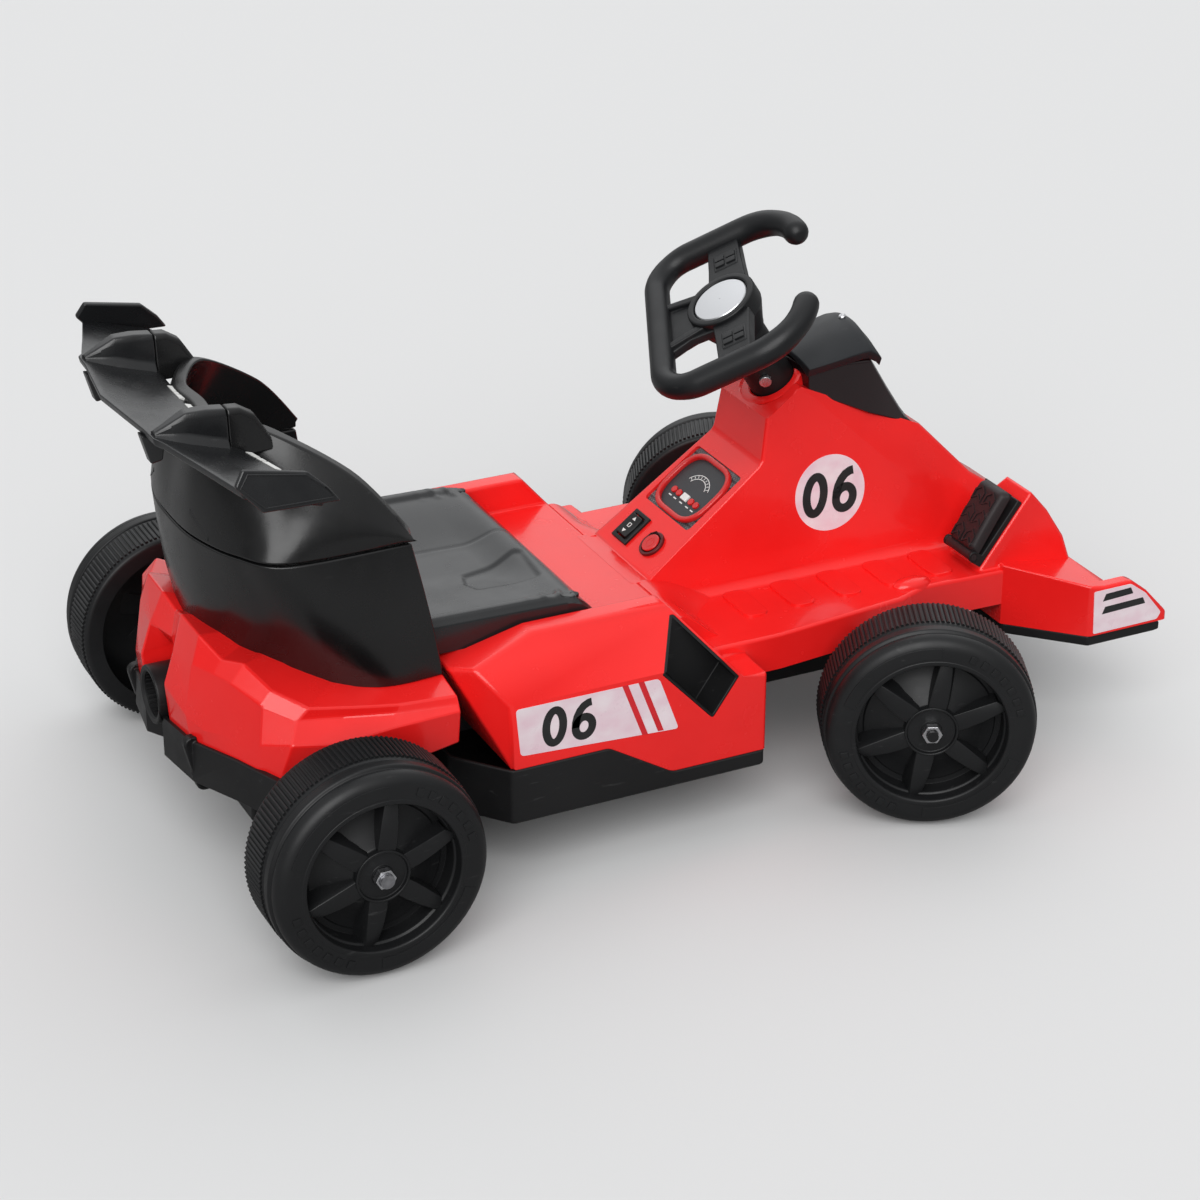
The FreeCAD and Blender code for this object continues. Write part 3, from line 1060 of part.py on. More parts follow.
# Stations around the seat back, from the front of one side to the middle of the rear:
# shares of the wall's depth forward of its rear, and of its half width.
LOW_SHARES = [(1.0, 1.0), (0.64, 0.987), (0.304, 0.687), (0.075, 0.333), (0.0, 0.0)]
SEAM_SHARES = [(1.0, 1.0), (0.32, 0.978), (0.124, 0.725), (0.02, 0.362), (0.0, 0.0)]


def stations(shares, rear, front, half):
    """Points of one level of the seat back, from the right front round to the left front."""
    right = [(ahead(rear + share * (front - rear)), -across * half) for share, across in shares]
    return right + [(x, -y) for x, y in reversed(right[:-1])]


def drawn_stations(points, wall):
    """The same points moved in by the wall, the two front ends straight across."""
    closed = inset(points, wall)
    closed[0] = (points[0][0], points[0][1] + wall)
    closed[-1] = (points[-1][0], points[-1][1] - wall)
    return closed


def wall_sections(low_points, low_z, high_points, high_z, wall):
    """Rings of a standing wall between two levels; the upper level may climb."""
    low_inner = drawn_stations(low_points, wall)
    high_inner = drawn_stations(high_points, wall)
    rings = []
    for index, level in enumerate(high_z):
        corners = [(low_points[index], low_z), (high_points[index], level), (high_inner[index], level),
                   (low_inner[index], low_z)]
        rings.append([Vector(x, y, z) for (x, y), z in corners])
    return rings


low_ring = stations(LOW_SHARES, s.back_rear_x, s.back_front_x, s.back_half)
seam_ring = stations(SEAM_SHARES, s.seam_rear_x, s.seam_front_x, s.seam_half)
count = len(low_ring)
base_wall = ribbon(wall_sections(low_ring, s.back_low_z, seam_ring, [s.seam_z] * count, s.back_wall), True)
feature("seat_back_base", solid_only(base_wall))
feature("seat_pan", solid_only(seat_form(0).cut(seat_form(s.seat_wall)).cut(base_wall)))

crest_half = [(s.seam_front_x, s.seam_half, s.crest_front_z),
              (s.crest_mid_x, s.crest_mid_half, s.crest_mid_z),
              (s.crest_rear_x, s.crest_rear_half, s.crest_rear_z),
              (s.crest_back_x, s.crest_rear_half / 2, s.crest_rear_z), (s.crest_back_x, 0, s.crest_rear_z)]
crest_ring = [(ahead(x), -y) for x, y, z in crest_half]
crest_ring = crest_ring + [(x, -y) for x, y in reversed(crest_ring[:-1])]
crest_level = [z for x, y, z in crest_half]
crest_level = crest_level + list(reversed(crest_level[:-1]))
cowl = ribbon(wall_sections(seam_ring, s.seam_z, crest_ring, crest_level, s.back_wall), True)


def fin(sign, points):
    """An upright fin over the wing, as wide as its named width."""
    start = sign * s.fin_half - s.fin_width / 2
    return side_prism([(ahead(x), z) for x, z in points], start + s.fin_width, start)


low_fin_z = s.blade_z - s.blade_thick
for sign in (-1, 1):
    cowl = cowl.fuse(fin(sign, [(s.fin_split_x, low_fin_z), (s.crest_rear_x, low_fin_z),
                                (s.crest_rear_x, s.crest_rear_z), (s.fin_brow_x, s.fin_split_z),
                                (s.fin_split_x, s.fin_split_z)]))
feature("seat_back_cowl", solid_only(cowl))


def blade_sections():
    """Stations of the wing blade from the right tip to the left tip."""
    half = [(s.plate_half - s.plate_lean, s.plate_rear_x, s.plate_top_front_x, s.plate_low_z + s.blade_thick),
            (s.blade_half, s.blade_rear_x + s.blade_step, s.blade_tip_front_x, s.plate_low_z + s.blade_thick),
            (s.fin_half, s.blade_rear_x + s.blade_step, s.blade_front_x, s.blade_z),
            (s.blade_step_half, s.blade_rear_x, s.blade_front_x, s.blade_z)]
    rows = [(-y, rear, front, top) for y, rear, front, top in half]
    rows = rows + [(-y, rear, front, top) for y, rear, front, top in reversed(rows)]
    rings = []
    for y, rear, front, top in rows:
        ring = [(rear, top - s.blade_thick / 2), (front, top - s.blade_thick), (front, top), (rear, top)]
        rings.append([Vector(ahead(x), y, z) for x, z in ring])
    return rings


def end_plate(sign):
    """Upright plate at the wing's tip."""
    corners = [(s.plate_rear_x, s.plate_rear_z), (s.plate_low_x, s.plate_low_z),
               (s.plate_front_x, s.plate_front_z), (s.plate_top_front_x, s.plate_top_z - s.plate_drop),
               (s.plate_top_rear_x, s.plate_top_z)]
    outside = [Vector(ahead(x), sign * s.plate_half, z) for x, z in corners]
    return prism(outside, Vector(0, -sign * s.plate_thick, 0))


def rear_wing():
    """Blade, end plates and the rear halves of the two fins."""
    shape = ribbon(blade_sections())
    for sign in (-1, 1):
        shape = shape.fuse(end_plate(sign))
        reach = s.plate_lean
        start = s.plate_half - s.plate_lean
        bridge = side_prism([(ahead(s.plate_low_x), s.plate_low_z),
                             (ahead(s.plate_top_front_x), s.plate_low_z),
                             (ahead(s.plate_top_front_x), s.plate_low_z + s.blade_thick),
                             (ahead(s.plate_low_x), s.plate_low_z + s.blade_thick)],
                            sign * (start + reach), sign * (start - reach))
        shape = shape.fuse(bridge)
        shape = shape.fuse(fin(sign, [(s.fin_tip_x, s.blade_z - s.blade_thick / 2),
                                      (s.fin_split_x, low_fin_z), (s.fin_split_x, s.fin_split_z),
                                      (s.plate_rear_x, s.fin_split_z), (s.fin_tip_x, s.fin_tip_z)]))
    return solid_only(shape.cut(cowl))


feature("rear_wing", rear_wing())

# Rear fairing and bumper


# Fairing stations from the front of the right side to the middle of the rear. Each has its place
# on the seat back (stations passed, height), then a ledge, a brow and a foot. Along and across are
# shares of the fairing's depth and half width, heights are shares of the wall below the seat back.
FAIRING_SHARES = [
    ((0.0, 1.0), (1.0, 0.937, 0.917), (1.0, 0.974, 0.75), (1.0, 0.947, 0.319)),
    ((1.0, 1.03), (0.659, 0.884, 0.917), (0.649, 0.937, 0.806), (0.649, 0.916, 0.03)),
    ((1.55, 1.05), (0.293, 0.874, 1.0), (0.302, 0.884, 0.667), (0.239, 0.863, 0.167)),
    ((2.0, 1.21), (0.22, 0.642, 1.347), (0.171, 0.653, 0.444), (0.161, 0.642, 0.111)),
    ((2.75, 1.444), (0.102, 0.368, 1.528), (0.049, 0.379, 0.444), (0.054, 0.395, 0.167)),
    ((3.6, 1.47), (0.107, 0.105, 1.556), (0.005, 0.116, 0.653), (0.02, 0.126, 0.208)),
    ((4.0, 1.39), (0.117, 0.0, 1.458), (0.088, 0.0, 0.833), (0.088, 0.0, 0.167)),
]
low_middle = drawn_stations(low_ring, s.back_wall / 2)
seam_middle = drawn_stations(seam_ring, s.back_wall / 2)


def in_wall(passed, level):
    """A point in the middle of the seat back's wall, after a number of stations, at a level."""
    first = min(int(passed), count - 2)
    up = (level - s.back_low_z) / (s.seam_z - s.back_low_z)
    place = []
    for axis in (0, 1):
        ends = []
        for ring in (low_middle, seam_middle):
            ends.append(ring[first][axis] + (passed - first) * (ring[first + 1][axis] - ring[first][axis]))
        place.append(ends[0] + up * (ends[1] - ends[0]))
    return Vector(place[0], place[1], level)


def fairing_half():
    """Outer corners of the fairing at each station, from the seat back down."""
    depth = s.back_front_x - s.fairing_rear_x
    tall = s.back_low_z - s.fairing_low_z
    rings = []
    for (passed, height), *shares in FAIRING_SHARES:
        corners = [in_wall(passed, s.fairing_low_z + height * tall)]
        for along, across, up in shares:
            corners.append(Vector(ahead(s.fairing_rear_x + along * depth), -across * s.fairing_front_half,
                                  s.fairing_low_z + up * tall))
        rings.append(corners)
    return rings


def fairing_sections():
    """Outer corners of each station with the same corners moved in by the wall."""
    right = fairing_half()
    left = [[Vector(p.x, -p.y, p.z) for p in ring] for ring in reversed(right[:-1])]
    front = ahead(s.back_front_x)
    rings = []
    for ring in right + left:
        inner = []
        for index, corner in enumerate(ring):
            inward = Vector(front - corner.x, -corner.y, 0)
            if front - ring[-1].x < s.clearance:
                inward = Vector(0, -corner.y, 0)
            inward.normalize()
            drop = s.fairing_wall if index < 2 else 0
            inner.append(corner + inward * s.fairing_wall - Vector(0, 0, drop))
        rings.append(ring + list(reversed(inner)))
    return rings


def outlet(radius, length):
    """A round bar along the outlet's axis, from its rear rim forward."""
    rim = Vector(ahead(s.outlet_rear_x), 0, s.outlet_z)
    return Part.makeCylinder(radius, length, rim, Vector(1, 0, 0))


fairing = ribbon(fairing_sections()).cut(outer_body).cut(base_wall)
fairing = solid_only(fairing.cut(outlet(s.outlet_radius, s.outlet_length)))
feature("rear_fairing", fairing)

doc.recompute()


def chassis_form(drawn_in):
    """Plan of the black pan: tail between the rear wheels, broad middle and front tongue."""
    half = [(ahead(s.tail_rear_x), -s.tail_half), (ahead(s.pod_tail_x), -s.tail_half),
            (ahead(s.pod_tail_x), -s.pod_tail_half), (ahead(s.pan_rear_x), -s.pan_half),
            (ahead(s.pan_front_x), -s.pan_half),
            (ahead(s.pan_front_x), -s.tongue_half), (ahead(s.tongue_front_x), -s.tongue_half)]
    return inset(mirrored_pairs(half), drawn_in)


def chassis_pan():
    """Open tub, notched for the axle and the front beam."""
    tub = plan_prism(chassis_form(0), s.pan_bottom_z, s.pan_rim_z)
    tub = tub.cut(plan_prism(chassis_form(s.pan_wall), s.pan_bottom_z + s.pan_wall, s.pan_rim_z))
    tub = tub.cut(beam.Shape)
    axle_start = Vector(rear_axle_x, -s.pan_half, s.wheel_radius)
    tub = tub.cut(Part.makeCylinder(s.rear_axle_radius, 2 * s.pan_half, axle_start, Vector(0, 1, 0)))
    skirt = [(ahead(s.skirt_bend_x), s.pan_rim_z), (ahead(s.skirt_drop_x), s.skirt_low_z),
             (ahead(s.pod_end_x), s.skirt_low_z), (ahead(s.pod_end_x), s.pan_rim_z)]
    tub = tub.cut(side_prism(skirt, s.pan_half)).cut(outer_body)
    return solid_only(tub)


pan = chassis_pan()
feature("chassis_pan", pan)


def strake(sign):
    """Upright blade below the fairing, round at its free corners."""
    points = [(s.strake_root_x, s.strake_low_z), (s.strake_low_x, s.strake_low_z),
              (s.strake_tip_x, s.strake_tip_z), (s.strake_root_x, s.strake_tip_z)]
    start = sign * s.strake_half - s.strake_width / 2
    blade = side_prism([(ahead(x), z) for x, z in points], start + s.strake_width, start)
    root = ahead(s.strake_root_x)
    free = [edge for edge in blade.Edges if edge.Length < s.strake_width + s.clearance
            and edge.CenterOfMass.x < root - s.strake_round]
    return blade.makeFillet(s.strake_round, free)


def rear_bumper():
    """Black band below the fairing, around the chassis tail, with its two strakes."""
    plan = [(ring[-1].x, ring[-1].y) for ring in fairing_half()[2:]]
    plan = plan + [(x, -y) for x, y in reversed(plan[:-1])]
    plan = inset(plan, s.fairing_wall + s.clearance)
    form = plan_prism(plan, s.bumper_low_z, s.bumper_top_z)
    for sign in (-1, 1):
        form = form.fuse(strake(sign))
    form = form.cut(plan_prism(chassis_form(0), s.bumper_low_z, s.bumper_top_z))
    return solid_only(form.cut(fairing).cut(outlet(s.outlet_radius, s.outlet_length)))


feature("rear_bumper", rear_bumper())
cup = outlet(s.outlet_radius, s.outlet_length)
feature("exhaust_outlet", cup.cut(outlet(s.outlet_radius - s.outlet_wall, s.outlet_depth)))

# Battery and control box in the pan, under the seat deck

floor_level = "pan_bottom_z + pan_wall"
case = block("battery_case", "battery_length", "battery_width", "battery_height",
             f"{REAR_AXLE_TEXT} + battery_x * stretch", "-battery_width / 2", floor_level)
posts = []
for index in (-1, 1):
    posts.append(block(f"battery_post_{index + 1}", "terminal_size", "terminal_size", "terminal_size",
                       f"{REAR_AXLE_TEXT} + battery_x * stretch + terminal_size",
                       f"{index} * battery_width / 4 - terminal_size / 2", f"{floor_level} + battery_height"))
keep(fuse("battery_whole", case, *posts), "battery")
keep(block("control_case", "control_length", "control_width", "control_height",
           f"{REAR_AXLE_TEXT} + control_x * stretch", "control_side - control_width / 2", floor_level),
     "control_box")


def screw_heads():
    """Domed screw heads on the seat's front edge."""
    heads = []
    for sign in (-1, 1):
        share = (s.seat_screw_x - s.seat_bend_x) / (s.seat_lip_x - s.seat_bend_x)
        level = s.seat_front_z + share * (s.seat_lip_z - s.seat_front_z)
        start = Vector(ahead(s.seat_screw_x), sign * s.seat_screw_half, level - s.seat_wall)
        head = Part.makeCylinder(s.screw_radius, s.screw_head + s.seat_wall, start)
        heads.append(head.cut(seat_form(0)))
    return Part.makeCompound(heads)


feature("seat_screws", screw_heads())

# Check every object before anything is written

doc.recompute()
for obj in doc.Objects:
    if "Invalid" in obj.State or "Error" in obj.State:
        raise RuntimeError(f"{obj.Name} could not be built: {obj.State}")
for node in nodes:
    if node.Shape.isNull() or not node.Shape.isValid():
        raise RuntimeError(f"{node.Label} has no valid shape")

os.makedirs("parts", exist_ok=True)
for node in nodes:
    node.Shape.exportStep(f"parts/{node.Label}.step")
print(len(nodes), "sub-parts written")
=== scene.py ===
"""Looks of a small child's electric kart, dressed around its solids.

Metres, in the frame of the solids: +X forward, +Y to the driver's left, +Z up.
Sizes in the classes are millimetres, and places along the kart count from the rear axle.
"""
import json
import logging
import math
from dataclasses import dataclass
from enum import Enum
from typing import Callable, Sequence

import bmesh
import bpy
from mathutils import Matrix, Vector
from mathutils.bvhtree import BVHTree
from mathutils.geometry import intersect_point_line

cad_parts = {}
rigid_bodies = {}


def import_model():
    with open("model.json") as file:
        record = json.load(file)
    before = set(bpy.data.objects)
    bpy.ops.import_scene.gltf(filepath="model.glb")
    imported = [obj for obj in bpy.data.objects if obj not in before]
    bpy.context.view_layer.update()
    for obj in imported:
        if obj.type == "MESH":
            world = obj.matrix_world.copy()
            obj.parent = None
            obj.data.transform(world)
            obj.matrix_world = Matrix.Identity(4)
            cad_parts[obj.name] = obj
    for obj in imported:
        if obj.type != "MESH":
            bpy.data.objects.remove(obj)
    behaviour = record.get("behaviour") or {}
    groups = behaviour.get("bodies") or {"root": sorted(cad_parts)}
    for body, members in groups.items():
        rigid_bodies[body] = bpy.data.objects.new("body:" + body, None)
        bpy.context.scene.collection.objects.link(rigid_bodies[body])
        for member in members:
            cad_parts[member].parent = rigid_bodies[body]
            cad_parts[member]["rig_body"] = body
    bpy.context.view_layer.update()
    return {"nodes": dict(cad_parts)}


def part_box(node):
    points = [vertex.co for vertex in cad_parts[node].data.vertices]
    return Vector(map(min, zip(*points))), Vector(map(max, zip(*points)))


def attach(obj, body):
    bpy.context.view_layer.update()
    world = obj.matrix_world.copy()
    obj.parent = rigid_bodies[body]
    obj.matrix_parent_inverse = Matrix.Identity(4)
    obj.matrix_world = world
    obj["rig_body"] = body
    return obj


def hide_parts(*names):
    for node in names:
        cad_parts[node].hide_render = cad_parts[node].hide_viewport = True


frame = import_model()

LOG = logging.getLogger("kart")
MM = 0.001
REAR_AXLE = -350.5
WHEELBASE = 551.0
SIDES = (("right", -1), ("left", 1))
COLUMN_TOP = (447.6, 0.0, 410.6)
COLUMN_TILT = 32.7
FIN_MIDDLE = 90.5
UPRIGHT = Matrix.Rotation(math.pi / 2, 4, "X")

# Shares of a digit's height.
DIGIT_ASIDE = 0.36
DIGIT_STROKE = 0.19

# Edges that meet under a lower cosine run on in one line. A rounding takes a share of the room beside it.
STRAIGHT_ON = -0.94
ROOM_SHARE = 0.42

# Metres between corners that are one, and degrees between faces that are one.
SAME_PLACE = 0.00001
SAME_PLANE = 0.2

# The last ones are a colour, a place on a sheet and one on the kart, a closed line, a low and a high
# number, and a band's width with its lower and upper level.
Mesh = bmesh.types.BMesh
Tree = bpy.types.NodeTree
Socket = bpy.types.NodeSocket
Stations = tuple[tuple[float, ...], ...]
Colour = tuple[float, float, float]
Point = tuple[float, float]
Place = tuple[float, float, float]
Outline = tuple[Point, ...]
Span = tuple[float, float]
Band = tuple[float, float, float]


# Places and meshes


def at(x: float, y: float, z: float) -> Vector:
    """Give a point of the kart in metres.

    Args:
        x: Millimetres ahead of the rear axle.
        y: Millimetres to the left.
        z: Millimetres above the ground.

    Returns:
        The point in the frame of the solids.
    """
    return Vector(((x + REAR_AXLE) * MM, y * MM, z * MM))


def column_down() -> Vector:
    """Give the way down the steering column."""
    tilt = math.radians(COLUMN_TILT)
    return Vector((math.sin(tilt), 0, -math.cos(tilt)))


def blend_between(low: float, high: float, share: float) -> float:
    """Give the number a share of the way from low to high."""
    return low + (high - low) * share


def smooth_line(points: Sequence[Vector], steps: int) -> list[Vector]:
    """Draw a smooth line through points.

    Args:
        points: The points that the line passes.
        steps: Pieces between two neighbouring points.

    Returns:
        Points of the line, ends included.
    """
    line = []
    last = len(points) - 1
    for index in range(last):
        before = points[max(index - 1, 0)]
        start, end = points[index], points[index + 1]
        after = points[min(index + 2, last)]
        for step in range(steps):
            t = step / steps
            line.append(0.5 * ((2 * start) + (end - before) * t
                               + (2 * before - 5 * start + 4 * end - after) * t ** 2
                               + (3 * start - before - 3 * end + after) * t ** 3))
    line.append(points[last].copy())
    return line


def add_ring(mesh: Mesh, points: Sequence[Vector]) -> list[bmesh.types.BMVert]:
    """Add the corners of one ring to a mesh and return them."""
    return [mesh.verts.new(point) for point in points]


def join_rings(mesh: Mesh, rings: Sequence[Sequence[bmesh.types.BMVert]], closed: bool = True,
               loop: bool = False, caps: bool = True) -> None:
    """Lay a skin over rings of corners.

    Args:
        mesh: The mesh that gets the faces.
        rings: Rings of equally many corners.
        closed: Whether each ring closes on itself.
        loop: Whether the last ring joins the first.
        caps: Whether the first and last ring are filled.
    """
    count = len(rings[0])
    pairs = list(zip(rings, rings[1:]))
    if loop:
        pairs.append((rings[-1], rings[0]))
    for low, high in pairs:
        for index in range(count if closed else count - 1):
            after = (index + 1) % count
            mesh.faces.new((low[index], low[after], high[after], high[index]))
    if caps and not loop:
        mesh.faces.new(list(reversed(rings[0])))
        mesh.faces.new(rings[-1])


def loft(sections: Sequence[Sequence[Vector]], loop: bool = False) -> Mesh:
    """Make a closed skin through sections of equally many corners.

    Args:
        sections: The sections, one after the other.
        loop: Whether the last section joins the first.

    Returns:
        A mesh whose faces point outwards.
    """
    mesh = bmesh.new()
    join_rings(mesh, [add_ring(mesh, section) for section in sections], loop=loop)
    bmesh.ops.recalc_face_normals(mesh, faces=mesh.faces)
    return mesh


def lathe(profile: Sequence[Point], steps: int) -> Mesh:
    """Turn a closed profile about the Y axis.

    Args:
        profile: Pairs of radius and place along Y, in millimetres.
        steps: Facets of one turn.

    Returns:
        The turned ring.
    """
    sections = []
    for step in range(steps):
        angle = 2 * math.pi * step / steps
        sections.append([Vector((r * math.cos(angle), y, r * math.sin(angle))) * MM for r, y in profile])
    return loft(sections, loop=True)


def prism(corners: Sequence[Vector], sweep: Vector) -> Mesh:
    """Sweep a closed outline straight.

    Args:
        corners: The outline's corners in order.
        sweep: The way and length of the sweep.

    Returns:
        The solid form, faces outwards.
    """
    return loft([list(corners), [corner + sweep for corner in corners]])


def block(low: Vector, high: Vector) -> Mesh:
    """Make a block between two opposite corners, to be softened later."""
    corners = [Vector((low.x, low.y, low.z)), Vector((high.x, low.y, low.z)),
               Vector((high.x, high.y, low.z)), Vector((low.x, high.y, low.z))]
    return prism(corners, Vector((0, 0, high.z - low.z)))


def tube(path: Sequence[Vector], radius: Callable[[float], float], sides: int) -> Mesh:
    """Sweep a round section along a path and close its ends with round caps.

    Args:
        path: Points of the middle line.
        radius: The section's radius for a share of the path.
        sides: Corners of the section.

    Returns:
        The swept form.
    """
    mesh = bmesh.new()
    count = len(path)
    tangents = [(path[min(i + 1, count - 1)] - path[max(i - 1, 0)]).normalized() for i in range(count)]
    across = tangents[0].orthogonal().normalized()
    rings = []

    def ring(centre: Vector, tangent: Vector, size: float) -> None:
        """Add a round section at a place of the path."""
        side = tangent.cross(across)
        points = []
        for step in range(sides):
            angle = 2 * math.pi * step / sides
            points.append(centre + (across * math.cos(angle) + side * math.sin(angle)) * size)
        rings.append(add_ring(mesh, points))

    round_steps = 5
    for step in range(1, round_steps + 1):
        lift = math.cos(math.pi / 2 * step / (round_steps + 1))
        ring(path[0] - tangents[0] * radius(0) * lift, tangents[0], radius(0) * math.sqrt(1 - lift ** 2))
    for index, (centre, tangent) in enumerate(zip(path, tangents)):
        across = (across - tangent * across.dot(tangent)).normalized()
        ring(centre, tangent, radius(index / (count - 1)))
    for step in range(round_steps, 0, -1):
        lift = math.cos(math.pi / 2 * step / (round_steps + 1))
        ring(path[-1] + tangents[-1] * radius(1) * lift, tangents[-1], radius(1) * math.sqrt(1 - lift ** 2))
    join_rings(mesh, rings)
    bmesh.ops.recalc_face_normals(mesh, faces=mesh.faces)
    return mesh


def gathered(*meshes: Mesh) -> Mesh:
    """Put several closed forms into one mesh and free the parts."""
    whole = bmesh.new()
    for part in meshes:
        data = bpy.data.meshes.new("part")
        part.to_mesh(data)
        part.free()
        whole.from_mesh(data)
        bpy.data.meshes.remove(data)
    return whole


def moved(mesh: Mesh, place: Matrix) -> Mesh:
    """Move a mesh by a matrix and return it."""
    mesh.transform(place)
    return mesh


def hill(xs: Sequence[float], ys: Sequence[float], height: Callable[[float, float], float],
         foot: float) -> Mesh:
    """Make a closed form below a surface of heights.

    Args:
        xs: Places of the grid ahead of the rear axle.
        ys: Places of the grid to the left.
        height: The surface's level at a place.
        foot: The level of the flat underside.

    Returns:
        The form, faces outwards.
    """
    mesh = bmesh.new()
    top = [add_ring(mesh, [at(x, y, height(x, y)) for y in ys]) for x in xs]
    join_rings(mesh, top, closed=False, caps=False)
    rim = [row[0] for row in top] + top[-1][1:-1] + [row[-1] for row in reversed(top)] + top[0][-2:0:-1]
    low = add_ring(mesh, [Vector((vert.co.x, vert.co.y, foot * MM)) for vert in rim])
    join_rings(mesh, [rim, low], caps=False)
    mesh.faces.new(low)
    bmesh.ops.recalc_face_normals(mesh, faces=mesh.faces)
    return mesh


def spread(low: float, high: float, steps: int) -> list[float]:
    """Give evenly spaced numbers from low to high, ends included."""
    return [blend_between(low, high, step / steps) for step in range(steps + 1)]


def ease(low: float, high: float, value: float) -> float:
    """Rise smoothly from 0 at low to 1 at high."""
    share = min(1.0, max(0.0, (value - low) / (high - low)))
    return share * share * (3 - 2 * share)


# Flat drawing


def rounded(outline: Sequence[Point], radius: float, steps: int = 5) -> list[Point]:
    """Round the corners of a closed outline.

    Args:
        outline: Its corners.
        radius: How far a rounding reaches along the sides.
        steps: Pieces of one rounding.

    Returns:
        The rounded outline.
    """
    points = []
    count = len(outline)
    for index in range(count):
        corner = Vector(outline[index])
        before = Vector(outline[index - 1]) - corner
        after = Vector(outline[(index + 1) % count]) - corner
        reach = min(radius, before.length * 0.45, after.length * 0.45)
        start = corner + before.normalized() * reach
        end = corner + after.normalized() * reach
        for share in spread(0.0, 1.0, steps):
            spot = start * (1 - share) ** 2 + corner * (2 * share * (1 - share)) + end * share ** 2
            points.append((spot.x, spot.y))
    return points


def oval(middle: Point, wide: float, high: float, steps: int = 40) -> list[Point]:
    """Draw an oval from its middle and its half sizes."""
    turns = [2 * math.pi * step / steps for step in range(steps)]
    return [(middle[0] + wide * math.cos(turn), middle[1] + high * math.sin(turn)) for turn in turns]


class Digit(Enum):
    """Strokes of a plain race number, one unit high, each with whether it is closed."""

    NOUGHT = ((tuple(oval((0.0, 0.0), 0.205, 0.40, 36)), True),)
    SIX = ((tuple(oval((0.0, -0.165), 0.205, 0.235, 32)), True),
           (((-0.205, -0.16), (-0.203, -0.02), (-0.175, 0.12), (-0.115, 0.25), (-0.03, 0.35), (0.08, 0.405),
             (0.16, 0.415)), False))


@dataclass(frozen=True)
class Sheet:
    """A flat place on the kart, drawn on in millimetres across, up and out of its face."""

    origin: Vector
    across: Vector
    up: Vector

    @property
    def out(self) -> Vector:
        """Give the way out of the face."""
        return self.across.cross(self.up)

    def spot(self, u: float, v: float, w: float = 0.0) -> Vector:
        """Give the point u across, v up and w out of the face."""
        return self.origin + (self.across * u + self.up * v + self.out * w) * MM

    def plate(self, outline: Sequence[Point], low: float, high: float) -> Mesh:
        """Raise a plate over an outline, from low to high out of the face."""
        return prism([self.spot(u, v, low) for u, v in outline], self.out * (high - low) * MM)

    def stroke(self, line: Sequence[Point], width: float, low: float, high: float,
               closed: bool = False) -> Mesh:
        """Raise a band of even width along a line.

        Args:
            line: The band's middle line.
            width: Its width.
            low: Its lower level out of the face.
            high: Its upper level.
            closed: Whether the line closes on itself.

        Returns:
            The band.
        """
        count = len(line)
        sections = []
        for index, (u, v) in enumerate(line):
            before = line[index - 1] if closed else line[max(index - 1, 0)]
            after = line[(index + 1) % count] if closed else line[min(index + 1, count - 1)]
            way = Vector((after[0] - before[0], after[1] - before[1])).normalized() * (width / 2)
            sections.append([self.spot(u + way.y, v - way.x, low), self.spot(u - way.y, v + way.x, low),
                             self.spot(u - way.y, v + way.x, high), self.spot(u + way.y, v - way.x, high)])
        return loft(sections, loop=closed)

    def race_number(self, middle: Point, size: float, slant: float, low: float,
                    high: float) -> Mesh:
        """Write the plain number 06.

        Args:
            middle: The number's middle.
            size: Its height.
            slant: How far its strokes lean over, as a share of the height.
            low: Its lower level out of the face.
            high: Its upper level.

        Returns:
            The number.
        """
        parts = []
        for digit, aside in ((Digit.NOUGHT, -DIGIT_ASIDE), (Digit.SIX, DIGIT_ASIDE)):
            for line, closed in digit.value:
                drawn = [(middle[0] + size * (u + aside + slant * v), middle[1] + size * v) for u, v in line]
                parts.append(self.stroke(drawn, size * DIGIT_STROKE, low, high, closed))
        return gathered(*parts)


def face_sheet(node: str, start: Vector, way: Vector, up: Vector) -> Sheet:
    """Find the flat face of a solid that a line of sight meets.

    Args:
        node: The solid's name.
        start: Where the line starts.
        way: Where it goes.
        up: The way that is up on the face.

    Returns:
        The face, with the point that was met as its origin.
    """
    data = frame["nodes"][node].data
    faces = [poly.vertices[:] for poly in data.polygons]
    tree = BVHTree.FromPolygons([vert.co for vert in data.vertices], faces)
    place, normal, _, _ = tree.ray_cast(start, way)
    upward = (up - normal * up.dot(normal)).normalized()
    return Sheet(place, upward.cross(normal), upward)


# Finishes


class Skin(Enum):
    """How the skin of a moulding feels: spacing per metre and height of its grain in metres."""

    GLOSS = (70.0, 0.00012)
    SATIN = (900.0, 0.00004)
    GRAINED = (1600.0, 0.00009)


def wire(tree: Tree, *wires: tuple[bpy.types.Node, str, bpy.types.Node, str | int]) -> None:
    """Join outputs to inputs, each named as a node, its output, a second node and its input."""
    for source, output, target, entry in wires:
        tree.links.new(source.outputs[output], target.inputs[entry])


def mapped(tree: Tree, source: Socket, low: float, high: float,
           start: float = 0.3, end: float = 0.7) -> Socket:
    """Spread a texture's value between two numbers.

    Args:
        tree: The material's nodes.
        source: The value to spread.
        low: The number at start.
        high: The number at end.
        start: The texture's value that gives low.
        end: The texture's value that gives high.

    Returns:
        The spread value.
    """
    node = tree.nodes.new("ShaderNodeMapRange")
    node.inputs["From Min"].default_value = start
    node.inputs["From Max"].default_value = end
    node.inputs["To Min"].default_value = low
    node.inputs["To Max"].default_value = high
    tree.links.new(source, node.inputs["Value"])
    return node.outputs["Result"]


